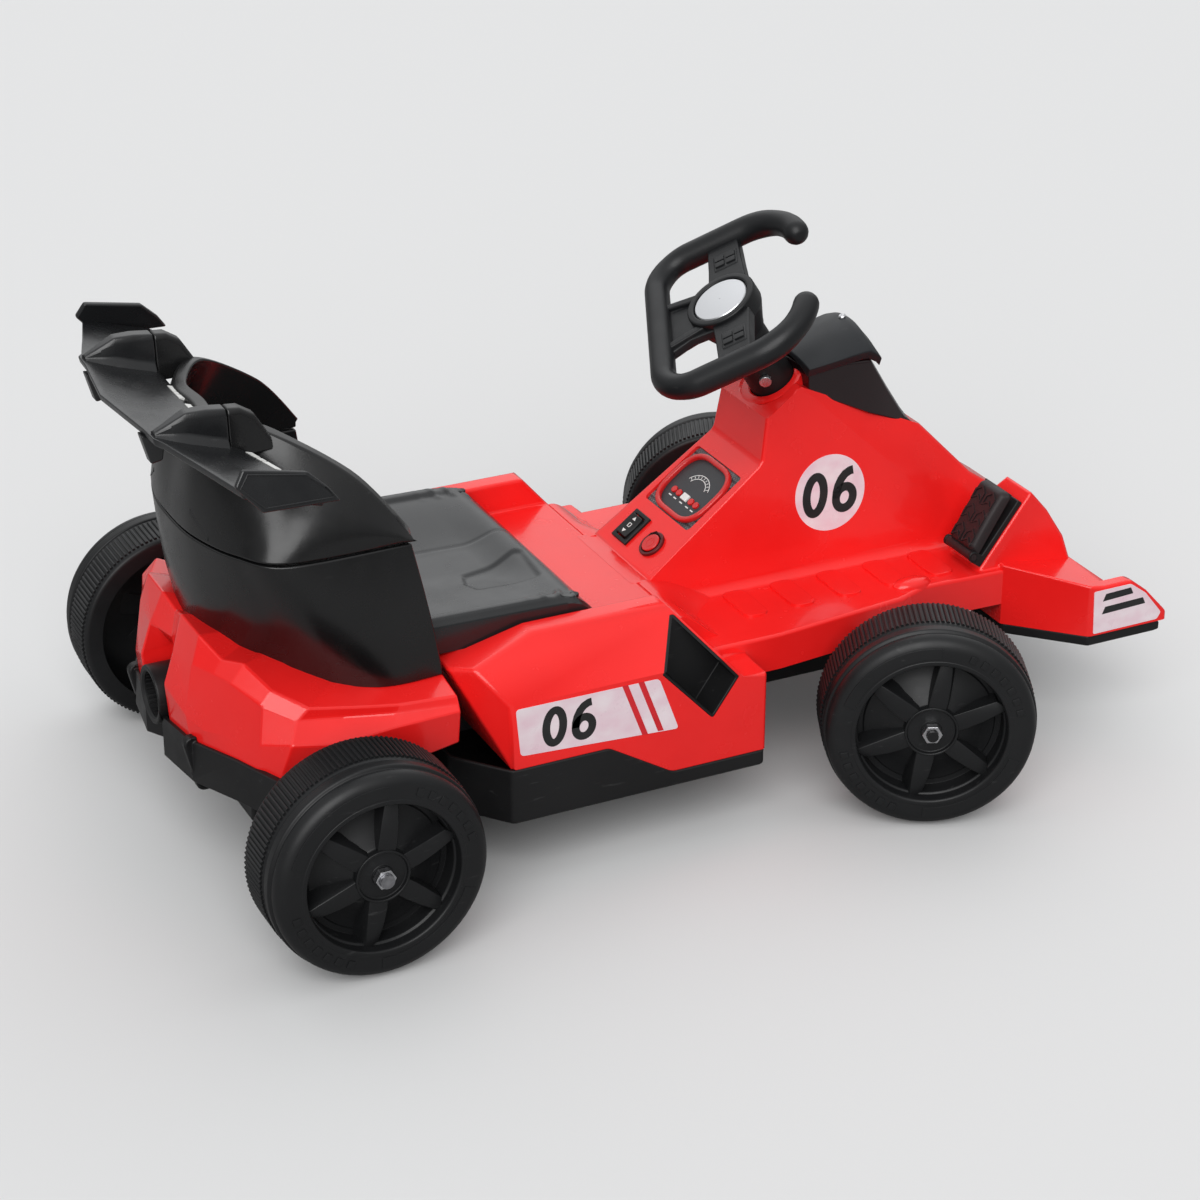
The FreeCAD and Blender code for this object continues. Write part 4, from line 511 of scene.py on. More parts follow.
def noise(tree: Tree, scale: float, detail: float = 3.0,
          stretch: Colour = (1.0, 1.0, 1.0)) -> Socket:
    """Add a noise in the piece's own coordinates.

    Args:
        tree: The material's nodes.
        scale: Features per metre.
        detail: Finer layers.
        stretch: Scale along each axis.

    Returns:
        The noise's value.
    """
    place = tree.nodes.new("ShaderNodeTexCoord")
    mapping = tree.nodes.new("ShaderNodeMapping")
    mapping.inputs["Scale"].default_value = stretch
    cloud = tree.nodes.new("ShaderNodeTexNoise")
    cloud.inputs["Scale"].default_value = scale
    cloud.inputs["Detail"].default_value = detail
    tree.links.new(place.outputs["Object"], mapping.inputs["Vector"])
    tree.links.new(mapping.outputs["Vector"], cloud.inputs["Vector"])
    return cloud.outputs["Fac"]


def two_tone(tree: Tree, share: Socket, first: Colour,
             second: Colour) -> Socket:
    """Mix two colours by a value.

    Args:
        tree: The material's nodes.
        share: How much of the second colour shows.
        first: The colour at 0.
        second: The colour at 1.

    Returns:
        The mixed colour.
    """
    mix = tree.nodes.new("ShaderNodeMix")
    mix.data_type = "RGBA"
    mix.inputs["A"].default_value = (*first, 1.0)
    mix.inputs["B"].default_value = (*second, 1.0)
    tree.links.new(share, mix.inputs["Factor"])
    return mix.outputs["Result"]


def bumped(tree: Tree, height: Socket, distance: float,
           strength: float = 1.0) -> Socket:
    """Turn a height into a bumped normal.

    Args:
        tree: The material's nodes.
        height: The height.
        distance: The depth of the bumps in metres.
        strength: How strongly they show.

    Returns:
        The normal.
    """
    node = tree.nodes.new("ShaderNodeBump")
    node.inputs["Distance"].default_value = distance
    node.inputs["Strength"].default_value = strength
    tree.links.new(height, node.inputs["Height"])
    return node.outputs["Normal"]


def fresh_material(name: str) -> tuple[bpy.types.Material, Tree, bpy.types.Node]:
    """Start a material and return it with its nodes and its main shader."""
    material = bpy.data.materials.new(name)
    material.use_nodes = True
    tree = material.node_tree
    return material, tree, tree.nodes["Principled BSDF"]


@dataclass(frozen=True)
class Plastic:
    """A moulded plastic: drifting colour, uneven gloss, fine skin and faint scuffs."""

    name: str
    colour: Colour
    roughness: float
    skin: Skin
    drift: float = 0.12
    gloss_spread: float = 0.06
    scuff: float = 0.35
    coat: float = 0.0
    coat_roughness: float = 0.08
    specular: float = 0.35

    def material(self) -> bpy.types.Material:
        """Build the material once and return it."""
        if self.name in bpy.data.materials:
            return bpy.data.materials[self.name]
        material, tree, shader = fresh_material(self.name)
        darker = tuple(part * (1 - self.drift) for part in self.colour)
        lighter = tuple(min(1.0, part * (1 + self.drift) + 0.002) for part in self.colour)
        base = two_tone(tree, mapped(tree, noise(tree, 9.0), 0.0, 1.0), darker, lighter)
        scuffed = tree.nodes.new("ShaderNodeMix")
        scuffed.data_type = "RGBA"
        worn = tuple(blend_between(part, 0.35, 0.25) for part in self.colour)
        scuffed.inputs["B"].default_value = (*worn, 1.0)
        streaks = noise(tree, 160.0, 6.0, (0.25, 1.0, 1.6))
        tree.links.new(mapped(tree, streaks, 0.0, self.scuff, 0.66, 0.80), scuffed.inputs["Factor"])
        tree.links.new(base, scuffed.inputs["A"])
        tree.links.new(scuffed.outputs["Result"], shader.inputs["Base Color"])
        gloss = mapped(tree, noise(tree, 38.0, 4.0), self.roughness - self.gloss_spread,
                       self.roughness + self.gloss_spread)
        tree.links.new(gloss, shader.inputs["Roughness"])
        spacing, height = self.skin.value
        tree.links.new(bumped(tree, noise(tree, spacing, 2.0), height), shader.inputs["Normal"])
        shader.inputs["Specular IOR Level"].default_value = self.specular
        shader.inputs["Coat Weight"].default_value = self.coat
        shader.inputs["Coat Roughness"].default_value = self.coat_roughness
        return material


@dataclass(frozen=True)
class Metal:
    """A plated or drawn metal with fine streaks and dull patches."""

    name: str
    colour: Colour
    roughness: float
    streak: Place = (1.0, 1.0, 1.0)

    def material(self) -> bpy.types.Material:
        """Build the material once and return it."""
        if self.name in bpy.data.materials:
            return bpy.data.materials[self.name]
        material, tree, shader = fresh_material(self.name)
        dull = tuple(part * 0.72 for part in self.colour)
        base = two_tone(tree, mapped(tree, noise(tree, 220.0, 5.0, self.streak), 0.0, 1.0), dull, self.colour)
        tree.links.new(base, shader.inputs["Base Color"])
        gloss = mapped(tree, noise(tree, 500.0, 4.0, self.streak), self.roughness - 0.08,
                       self.roughness + 0.12)
        tree.links.new(gloss, shader.inputs["Roughness"])
        shader.inputs["Metallic"].default_value = 1.0
        tree.links.new(bumped(tree, noise(tree, 900.0, 3.0, self.streak), 0.00003), shader.inputs["Normal"])
        return material


@dataclass(frozen=True)
class Print:
    """A printed film: even colour with faint ripples, a satin face and small creases."""

    name: str
    colour: Colour
    second: Colour
    roughness: float = 0.32

    def material(self) -> bpy.types.Material:
        """Build the material once and return it."""
        if self.name in bpy.data.materials:
            return bpy.data.materials[self.name]
        material, tree, shader = fresh_material(self.name)
        ripple = mapped(tree, noise(tree, 42.0, 2.0, (1.0, 1.0, 1.4)), 0.0, 1.0, 0.35, 0.75)
        tree.links.new(two_tone(tree, ripple, self.colour, self.second), shader.inputs["Base Color"])
        gloss = mapped(tree, noise(tree, 90.0), self.roughness - 0.08, self.roughness + 0.1)
        tree.links.new(gloss, shader.inputs["Roughness"])
        tree.links.new(bumped(tree, noise(tree, 60.0, 2.0), 0.00025), shader.inputs["Normal"])
        return material


@dataclass(frozen=True)
class HatchFilm:
    """A dark film with a woven hatch, as on the dash's corner plates."""

    name: str
    dark: Colour
    light: Colour
    cells: float

    def material(self) -> bpy.types.Material:
        """Build the material once and return it."""
        if self.name in bpy.data.materials:
            return bpy.data.materials[self.name]
        material, tree, shader = fresh_material(self.name)
        place = tree.nodes.new("ShaderNodeTexCoord")
        mapping = tree.nodes.new("ShaderNodeMapping")
        mapping.inputs["Rotation"].default_value = (0.0, math.radians(-37.2), math.radians(45))
        weave = tree.nodes.new("ShaderNodeTexChecker")
        weave.inputs["Scale"].default_value = self.cells
        worn = tree.nodes.new("ShaderNodeMath")
        worn.operation = "MULTIPLY"
        wire(tree, (place, "Object", mapping, "Vector"), (mapping, "Vector", weave, "Vector"),
             (weave, "Fac", worn, 0))
        tree.links.new(mapped(tree, noise(tree, 120.0, 4.0), 0.3, 1.0), worn.inputs[1])
        tone = two_tone(tree, worn.outputs["Value"], self.dark, self.light)
        tree.links.new(tone, shader.inputs["Base Color"])
        tree.links.new(mapped(tree, noise(tree, 300.0), 0.28, 0.42), shader.inputs["Roughness"])
        tree.links.new(bumped(tree, weave.outputs["Fac"], 0.0001, 0.4), shader.inputs["Normal"])
        return material


RED = Plastic("red_moulding", (0.90, 0.014, 0.013), 0.24, Skin.GLOSS, drift=0.05, gloss_spread=0.05,
              scuff=0.06, coat=0.35)
BLACK = Plastic("black_moulding", (0.007, 0.007, 0.0075), 0.46, Skin.SATIN)
SEAT = Plastic("seat_moulding", (0.013, 0.0138, 0.015), 0.23, Skin.SATIN, gloss_spread=0.06, scuff=0.2,
               specular=0.6)
SHELL_BLACK = Plastic("seat_back_moulding", (0.006, 0.006, 0.0063), 0.25, Skin.SATIN, scuff=0.15,
                      specular=0.55)
TYRE = Plastic("wheel_moulding", (0.008, 0.0083, 0.009), 0.42, Skin.SATIN, scuff=0.3)
GRIP = Plastic("grip_moulding", (0.009, 0.0095, 0.0105), 0.38, Skin.GRAINED, scuff=0.2)
WING = Plastic("wing_moulding", (0.010, 0.0105, 0.0115), 0.26, Skin.SATIN, scuff=0.2, specular=0.6)
MAROON = Plastic("wedge_moulding", (0.012, 0.004, 0.005), 0.2, Skin.GLOSS, scuff=0.1, coat=0.4)
HOOD = Plastic("hood_moulding", (0.013, 0.0145, 0.017), 0.40, Skin.SATIN, scuff=0.25)
TREAD = Plastic("pedal_moulding", (0.020, 0.013, 0.014), 0.45, Skin.GRAINED, scuff=0.5)
BUTTON_RED = Plastic("red_button", (0.62, 0.015, 0.015), 0.22, Skin.GLOSS, coat=0.4)
RING_RED = Plastic("dark_red_ring", (0.10, 0.008, 0.009), 0.3, Skin.SATIN)
BUTTON_WHITE = Plastic("white_button", (0.78, 0.78, 0.76), 0.28, Skin.GLOSS)
NYLON = Plastic("bare_nylon", (0.70, 0.69, 0.65), 0.5, Skin.SATIN)
CASE = Plastic("grey_case", (0.05, 0.05, 0.055), 0.55, Skin.GRAINED)
PANEL = Plastic("panel_film", (0.045, 0.046, 0.05), 0.4, Skin.SATIN)
ZINC = Metal("zinc_plate", (0.72, 0.72, 0.74), 0.28)
STEEL = Metal("drawn_steel", (0.42, 0.42, 0.44), 0.4, (1.0, 0.2, 1.0))
SILVER = Metal("silver_disc", (0.74, 0.75, 0.78), 0.36, (0.4, 1.0, 1.0))
# White film with a pink tint that is painted reflection of the red body; a random ripple mixes in its paler
# second colour.
PAPER_PAINTED_PINK_REFLECTION = Print("white_film", (0.84, 0.62, 0.69), (0.90, 0.80, 0.83))
INK = Print("black_film", (0.012, 0.012, 0.013), (0.02, 0.02, 0.02))
SCARLET = Print("red_film", (0.72, 0.02, 0.03), (0.62, 0.015, 0.02))
HATCH = HatchFilm("hatched_film", (0.03, 0.03, 0.033), (0.22, 0.22, 0.23), 420.0)
Finish = Plastic | Metal | Print | HatchFilm


# Turning a mesh into a piece


@dataclass(frozen=True)
class Rounding:
    """How edges are rounded: width in millimetres, facets, least angle in degrees, least share of width."""

    width: float = 0.0
    steps: int = 2
    sharp: float = 24.0
    least: float = 0.0


PLAIN = Rounding()


def room_beside(edge: bmesh.types.BMEdge, most: float) -> float:
    """Measure how wide a rounding of an edge may grow on the faces beside it.

    Args:
        edge: The edge.
        most: The greatest width that matters.

    Returns:
        The distance to the nearest other border of its faces.
    """
    room = most
    for vert in edge.verts:
        way = (edge.other_vert(vert).co - vert.co).normalized()
        for other in vert.link_edges:
            run = other.other_vert(vert).co - vert.co
            if other is edge or run.length == 0:
                continue
            along = run.normalized().dot(way)
            if along > STRAIGHT_ON:
                room = min(room, run.length * math.sqrt(max(0.0, 1 - along * along)))
    middle = (edge.verts[0].co + edge.verts[1].co) / 2
    for face in edge.link_faces:
        for vert in face.verts:
            if vert in edge.verts:
                continue
            near, share = intersect_point_line(vert.co, edge.verts[0].co, edge.verts[1].co)
            if 0.0 <= share <= 1.0:
                room = min(room, (vert.co - near).length)
        for other in face.edges:
            if set(other.verts) & set(edge.verts):
                continue
            for spot in (edge.verts[0].co, middle, edge.verts[1].co):
                near, share = intersect_point_line(spot, other.verts[0].co, other.verts[1].co)
                if 0.0 <= share <= 1.0:
                    room = min(room, (spot - near).length)
    return room


def weigh_edges(data: bpy.types.Mesh, width: float, sharp: float, least: float) -> None:
    """Mark the edges to be rounded, each no wider than its faces leave room for.

    Args:
        data: The mesh.
        width: The full width of a rounding, in metres.
        sharp: The least angle between two faces that is rounded.
        least: The least share of the width that is worth rounding.
    """
    mesh = bmesh.new()
    mesh.from_mesh(data)
    weight = mesh.edges.layers.float.new("bevel_weight_edge")
    for edge in mesh.edges:
        if len(edge.link_faces) == 2 and edge.calc_face_angle(0.0) >= sharp:
            share = min(1.0, ROOM_SHARE * room_beside(edge, width / ROOM_SHARE) / width)
            edge[weight] = share if share > least else 0.0
    mesh.to_mesh(data)
    mesh.free()


def settled(obj: bpy.types.Object) -> None:
    """Turn an object's modifiers into plain mesh."""
    graph = bpy.context.evaluated_depsgraph_get()
    plain = bpy.data.meshes.new_from_object(obj.evaluated_get(graph))
    obj.modifiers.clear()
    obj.data = plain


def soften(obj: bpy.types.Object, rounding: Rounding) -> None:
    """Round the sharp edges of an object.

    Args:
        obj: The object.
        rounding: How they are rounded.
    """
    weigh_edges(obj.data, rounding.width * MM, math.radians(rounding.sharp), rounding.least)
    bevel = obj.modifiers.new("rounding", "BEVEL")
    bevel.limit_method = "WEIGHT"
    bevel.width = rounding.width * MM
    bevel.segments = rounding.steps
    bevel.use_clamp_overlap = False
    bevel.miter_outer = "MITER_ARC"
    settled(obj)


def shade(obj: bpy.types.Object, angle: float) -> None:
    """Shade an object smooth, but for its sharp edges.

    Args:
        obj: The object.
        angle: The least angle that stays sharp, in degrees.
    """
    obj.data.shade_smooth()
    obj.data.set_sharp_from_angle(angle=math.radians(angle))
    weighted = obj.modifiers.new("flat_faces", "WEIGHTED_NORMAL")
    weighted.keep_sharp = True
    settled(obj)


def make_piece(name: str, mesh: Mesh, finish: Finish, body: str,
               replaced: Sequence[str] = (), rounding: Rounding = PLAIN,
               shading: float = 34.0) -> None:
    """Turn a mesh into a finished piece of the kart.

    Args:
        name: The piece's name.
        mesh: Its mesh, which is used up.
        finish: Its finish.
        body: The body that it rides on.
        replaced: Solids that it stands for.
        rounding: How its edges are rounded.
        shading: The least angle that stays sharp, in degrees.
    """
    data = bpy.data.meshes.new(name)
    mesh.to_mesh(data)
    mesh.free()
    obj = bpy.data.objects.new(name, data)
    bpy.context.scene.collection.objects.link(obj)
    data.materials.append(finish.material())
    if rounding.width > 0:
        soften(obj, rounding)
    shade(obj, shading)
    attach(obj, body)
    if replaced:
        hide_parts(*replaced)
    LOG.info("%s: %d faces on %s", name, len(obj.data.polygons), body)


def merge_flat(mesh: Mesh, limit: float) -> bool:
    """Join neighbouring faces that lie in one plane, but never around a hole.

    Args:
        mesh: The mesh.
        limit: The greatest angle between faces of one plane.

    Returns:
        Whether any faces were joined.
    """
    joined = False
    for edge in list(mesh.edges):
        if not edge.is_valid or len(edge.link_faces) != 2:
            continue
        first, second = edge.link_faces
        if first.normal.angle(second.normal, math.pi) > limit:
            continue
        edges = set(first.edges) & set(second.edges)
        verts = set(first.verts) & set(second.verts)
        if len(verts) == len(edges) + 1:
            bmesh.utils.face_join((first, second))
            joined = True
    return joined


def solid_copy(node: str) -> Mesh:
    """Copy a solid's mesh with its triangles merged into flat faces.

    Args:
        node: The solid's name.

    Returns:
        The copy.
    """
    mesh = bmesh.new()
    mesh.from_mesh(frame["nodes"][node].data)
    bmesh.ops.remove_doubles(mesh, verts=mesh.verts, dist=SAME_PLACE)
    mesh.normal_update()
    while merge_flat(mesh, math.radians(SAME_PLANE)):
        mesh.normal_update()
    return mesh


def body_of(node: str) -> str:
    """Name the body that a solid belongs to."""
    return frame["nodes"][node]["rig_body"]


def refine(node: str, finish: Finish, width: float) -> None:
    """Stand a softened copy in for a solid.

    Args:
        node: The solid's name.
        finish: Its finish.
        width: The rounding's width in millimetres.
    """
    make_piece(f"{node}_moulding", solid_copy(node), finish, body_of(node), (node,),
               Rounding(width, 3))


def paint(node: str, finish: Finish) -> None:
    """Give a solid that is shown as it is its finish."""
    data = frame["nodes"][node].data
    data.materials.clear()
    data.materials.append(finish.material())
    LOG.info("%s: painted", node)


# Repeating patterns


def started_tree(name: str, inputs: Sequence[tuple[str, str]]) -> tuple[Tree, bpy.types.Node]:
    """Start a tree of geometry nodes.

    Args:
        name: The tree's name.
        inputs: Each input's label and kind of socket.

    Returns:
        The tree and its node of inputs.
    """
    tree = bpy.data.node_groups.new(name, "GeometryNodeTree")
    for label, kind in inputs:
        tree.interface.new_socket(label, in_out="INPUT", socket_type=kind)
    tree.interface.new_socket("Geometry", in_out="OUTPUT", socket_type="NodeSocketGeometry")
    return tree, tree.nodes.new("NodeGroupInput")


def ended_tree(tree: Tree, given: bpy.types.Node,
               copies: Socket) -> Tree:
    """Turn a tree's copies into plain mesh, give it the material and close the tree.

    Args:
        tree: The tree.
        given: Its node of inputs, one of which is called Material.
        copies: The socket that gives the copies.

    Returns:
        The tree.
    """
    real = tree.nodes.new("GeometryNodeRealizeInstances")
    dressed = tree.nodes.new("GeometryNodeSetMaterial")
    result = tree.nodes.new("NodeGroupOutput")
    tree.links.new(copies, real.inputs["Geometry"])
    wire(tree, (real, "Geometry", dressed, "Geometry"), (given, "Material", dressed, "Material"),
         (dressed, "Geometry", result, "Geometry"))
    return tree


def ring_tree(name: str) -> Tree:
    """Build nodes that set round bars side by side around the Y axis.

    Args:
        name: The tree's name.

    Returns:
        A tree with the inputs Count, Ring Radius, Bar Radius, Bar Length, Start and Material.
    """
    tree, given = started_tree(name, (
        ("Count", "NodeSocketInt"), ("Ring Radius", "NodeSocketFloat"), ("Bar Radius", "NodeSocketFloat"),
        ("Bar Length", "NodeSocketFloat"), ("Start", "NodeSocketFloat"), ("Material", "NodeSocketMaterial")))
    ring = tree.nodes.new("GeometryNodeMeshCircle")
    bar = tree.nodes.new("GeometryNodeMeshCylinder")
    bar.inputs["Vertices"].default_value = 8
    copies = tree.nodes.new("GeometryNodeInstanceOnPoints")
    place = tree.nodes.new("ShaderNodeCombineXYZ")
    turned = tree.nodes.new("GeometryNodeTransform")
    turned.inputs["Rotation"].default_value = (-math.pi / 2, 0.0, 0.0)
    wire(tree, (given, "Count", ring, "Vertices"), (given, "Ring Radius", ring, "Radius"),
         (given, "Bar Radius", bar, "Radius"), (given, "Bar Length", bar, "Depth"),
         (ring, "Mesh", copies, "Points"), (bar, "Mesh", copies, "Instance"), (given, "Start", place, "Y"),
         (place, "Vector", turned, "Translation"), (copies, "Instances", turned, "Geometry"))
    return ended_tree(tree, given, turned.outputs["Geometry"])


def copies_tree(name: str) -> Tree:
    """Build nodes that repeat a piece's own mesh along a straight row.

    Args:
        name: The tree's name.

    Returns:
        A tree with the inputs Geometry, Count, Step and Material.
    """
    tree, given = started_tree(name, (
        ("Geometry", "NodeSocketGeometry"), ("Count", "NodeSocketInt"), ("Step", "NodeSocketVector"),
        ("Material", "NodeSocketMaterial")))
    row = tree.nodes.new("GeometryNodeMeshLine")
    copies = tree.nodes.new("GeometryNodeInstanceOnPoints")
    wire(tree, (given, "Count", row, "Count"), (given, "Step", row, "Offset"),
         (row, "Mesh", copies, "Points"), (given, "Geometry", copies, "Instance"))
    return ended_tree(tree, given, copies.outputs["Instances"])


def grown(tree: Tree, inputs: dict[str, object],
          start: Mesh | None = None) -> Mesh:
    """Run a tree once and return its result as a plain mesh.

    Args:
        tree: The tree.
        inputs: Values by the name of the tree's input.
        start: A mesh for the tree to work on, which is used up.

    Returns:
        The result.
    """
    data = bpy.data.meshes.new("seed")
    if start is not None:
        start.to_mesh(data)
        start.free()
    obj = bpy.data.objects.new("seed", data)
    bpy.context.scene.collection.objects.link(obj)
    pattern = obj.modifiers.new("pattern", "NODES")
    pattern.node_group = tree
    for item in tree.interface.items_tree:
        if item.in_out == "INPUT" and item.name in inputs:
            pattern[item.identifier] = inputs[item.name]
    settled(obj)
    mesh = bmesh.new()
    mesh.from_mesh(obj.data)
    bpy.data.objects.remove(obj)
    return mesh


# Wheels


@dataclass
class Wheel:
    """One wheel of two halves: a drum with a ribbed tread and a sidewall with dish, spokes and hub."""

    end: str
    side: str
    sign: int
    radius: float = 95.0
    width: float = 72.0
    rear_track: float = 248.0
    front_track: float = 241.0
    kingpin: float = 190.0
    steer: float = 24.5
    turn_steps: int = 120
    tread_width: float = 46.0
    tread_drop: float = 2.2
    rib_count: int = 132
    rib_radius: float = 1.55
    rib_length: float = 35.0
    rib_middle: float = 22.8
    spoke_count: int = 6
    spoke_turn: float = 0.35
    spoke_foot: float = 46.0
    spoke_slant: float = 0.10
    spoke_stations: Stations = (
        (21.5, 8.4, 9.0, 9.5, 67.0), (30.0, 8.8, 9.0, 11.5, 67.6), (44.0, 8.4, 8.0, 12.5, 67.0),
        (56.0, 7.6, 6.6, 11.0, 65.6), (66.0, 6.6, 5.0, 8.0, 63.6))
    side_profile: Outline = (
        (69.5, 46), (92.0, 46), (93.0, 46.6), (93.4, 48.0), (93.4, 54.6), (92.6, 55.8), (90.8, 56.6),
        (90.4, 57.6), (91.4, 59.0), (91.4, 62.0), (90.2, 65.6), (87.6, 68.6), (84.0, 70.4), (80.0, 71.2),
        (74.0, 71.5), (70.6, 71.6), (70.2, 72.0), (67.4, 72.0), (66.2, 71.2), (65.6, 69.6), (65.3, 62.0),
        (63.8, 61.2), (63.2, 60.0), (63.0, 47.0), (57.5, 47.0), (57.0, 48.5), (52.0, 49.2), (45.0, 51.4),
        (36.0, 55.6), (29.0, 59.4), (25.0, 61.2), (23.8, 62.6), (23.5, 67.2), (23.0, 67.8), (21.8, 67.8),
        (21.2, 67.0), (21.0, 65.0), (20.2, 64.4), (9.4, 64.4), (9.0, 65.0), (8.8, 65.9), (5.6, 65.9),
        (5.2, 40), (16, 40), (16, 50), (60, 44))
    flat_level: float = 71.5
    flat_radius: float = 80.0
    flat_fall: float = 0.28
    mark_root: float = 3.0
    mark_step: float = 4.0
    # Raised marks: where they start and how far each goes round, their radii and their height.
    marks: tuple[tuple[Sequence[float], float, Span, float], ...] = (
        ((20.0, 200.0), 74.0, (72.5, 83.0), 0.8),
        ((*spread(112.0, 163.0, 6), *spread(292.0, 343.0, 6)), 4.6, (74.5, 81.5), 1.1))

    def place(self) -> Matrix:
        """Give the matrix from the wheel's own frame, axis +Y outward, to the kart."""
        rear = self.end == "rear"
        track = self.rear_track if rear else self.front_track
        start = at(0 if rear else WHEELBASE, self.sign * (track - self.width / 2), self.radius)
        facing = Matrix.Identity(4) if self.sign > 0 else Matrix.Rotation(math.pi, 4, "Z")
        where = Matrix.Translation(start) @ facing
        if rear:
            return where
        pivot = at(WHEELBASE, self.sign * self.kingpin, 0)
        turn = Matrix.Rotation(math.radians(-self.steer), 4, "Z")
        return Matrix.Translation(pivot) @ turn @ Matrix.Translation(-pivot) @ where

    def drum(self) -> Mesh:
        """Turn the inner half and set its ribs."""
        low = self.radius - self.tread_drop
        profile = [(76, 0), (88, 0), (90.6, 0.5), (92.0, 1.8), (low, 4.2), (low, 41.5), (low - 0.6, 42.4),
                   (low - 1.0, 43.4), (low - 1.0, self.tread_width), (low - 4.0, self.tread_width),
                   (low - 4.0, 9.0), (86.0, 6.0), (76, 4)]
        ribs = grown(ring_tree("tread_ribs"), {
            "Count": self.rib_count, "Ring Radius": (low + 0.2) * MM, "Bar Radius": self.rib_radius * MM,
            "Bar Length": self.rib_length * MM, "Start": self.rib_middle * MM, "Material": TYRE.material()})
        return gathered(lathe(profile, self.turn_steps), ribs)

    def spoke(self) -> Mesh:
        """Loft one blade-like spoke: flat on top, steep on one flank, sloping on the other."""
        sections = []
        for r, left, right, foot, top in self.spoke_stations:
            slant = (r - self.spoke_stations[0][0]) * self.spoke_slant
            ring = [(r - slant, self.spoke_foot, -left), (r + slant, self.spoke_foot, foot),
                    (r + slant, top - 6.0, right + 1.2), (r + slant, top - 0.9, right - 1.0),
                    (r, top, 0.0), (r - slant, top - 1.2, -left + 0.8)]
            sections.append([Vector(corner) * MM for corner in ring])
        return loft(sections)

    def raised(self, start: float, sweep: float, band: Span, rise: float) -> Mesh:
        """Raise a curved mark on the sidewall.

        Args:
            start: Its first angle in degrees.
            sweep: How far round it goes, in degrees.
            band: Its inner and outer radius.
            rise: How far it stands out.

        Returns:
            The mark.
        """
        low, high = band
        drop = max(0.0, high - self.flat_radius) * self.flat_fall
        root, face = self.flat_level - self.mark_root, self.flat_level + rise
        sections = []
        for share in spread(0.0, 1.0, max(2, int(sweep / self.mark_step))):
            angle = math.radians(start + sweep * share)
            ring = []
            for radius, level in ((low, root), (high, root - drop), (high, face - drop), (low, face)):
                ring.append(Vector((math.cos(angle) * radius, level, math.sin(angle) * radius)) * MM)
            sections.append(ring)
        return loft(sections)

    def face(self) -> Mesh:
        """Gather the outer half: sidewall, spokes and raised marks."""
        parts = [lathe(self.side_profile, self.turn_steps)]
        for index in range(self.spoke_count):
            turn = Matrix.Rotation(2 * math.pi * index / self.spoke_count + self.spoke_turn, 4, "Y")
            parts.append(moved(self.spoke(), turn))
        for starts, sweep, band, rise in self.marks:
            parts += [self.raised(start, sweep, band, rise) for start in starts]
        return gathered(*parts)

    def build(self) -> None:
        """Build and dress both halves."""
        body = f"{self.end}_wheel_{self.side}"
        for word, mesh in (("inner", self.drum()), ("outer", self.face())):
            node = f"wheel_{word}_{self.end}_{self.side}"
            make_piece(f"{node}_moulding", moved(mesh, self.place()), TYRE, body, (node,),
                       Rounding(0.7, 2, 30.0) if word == "outer" else PLAIN)


# Steering


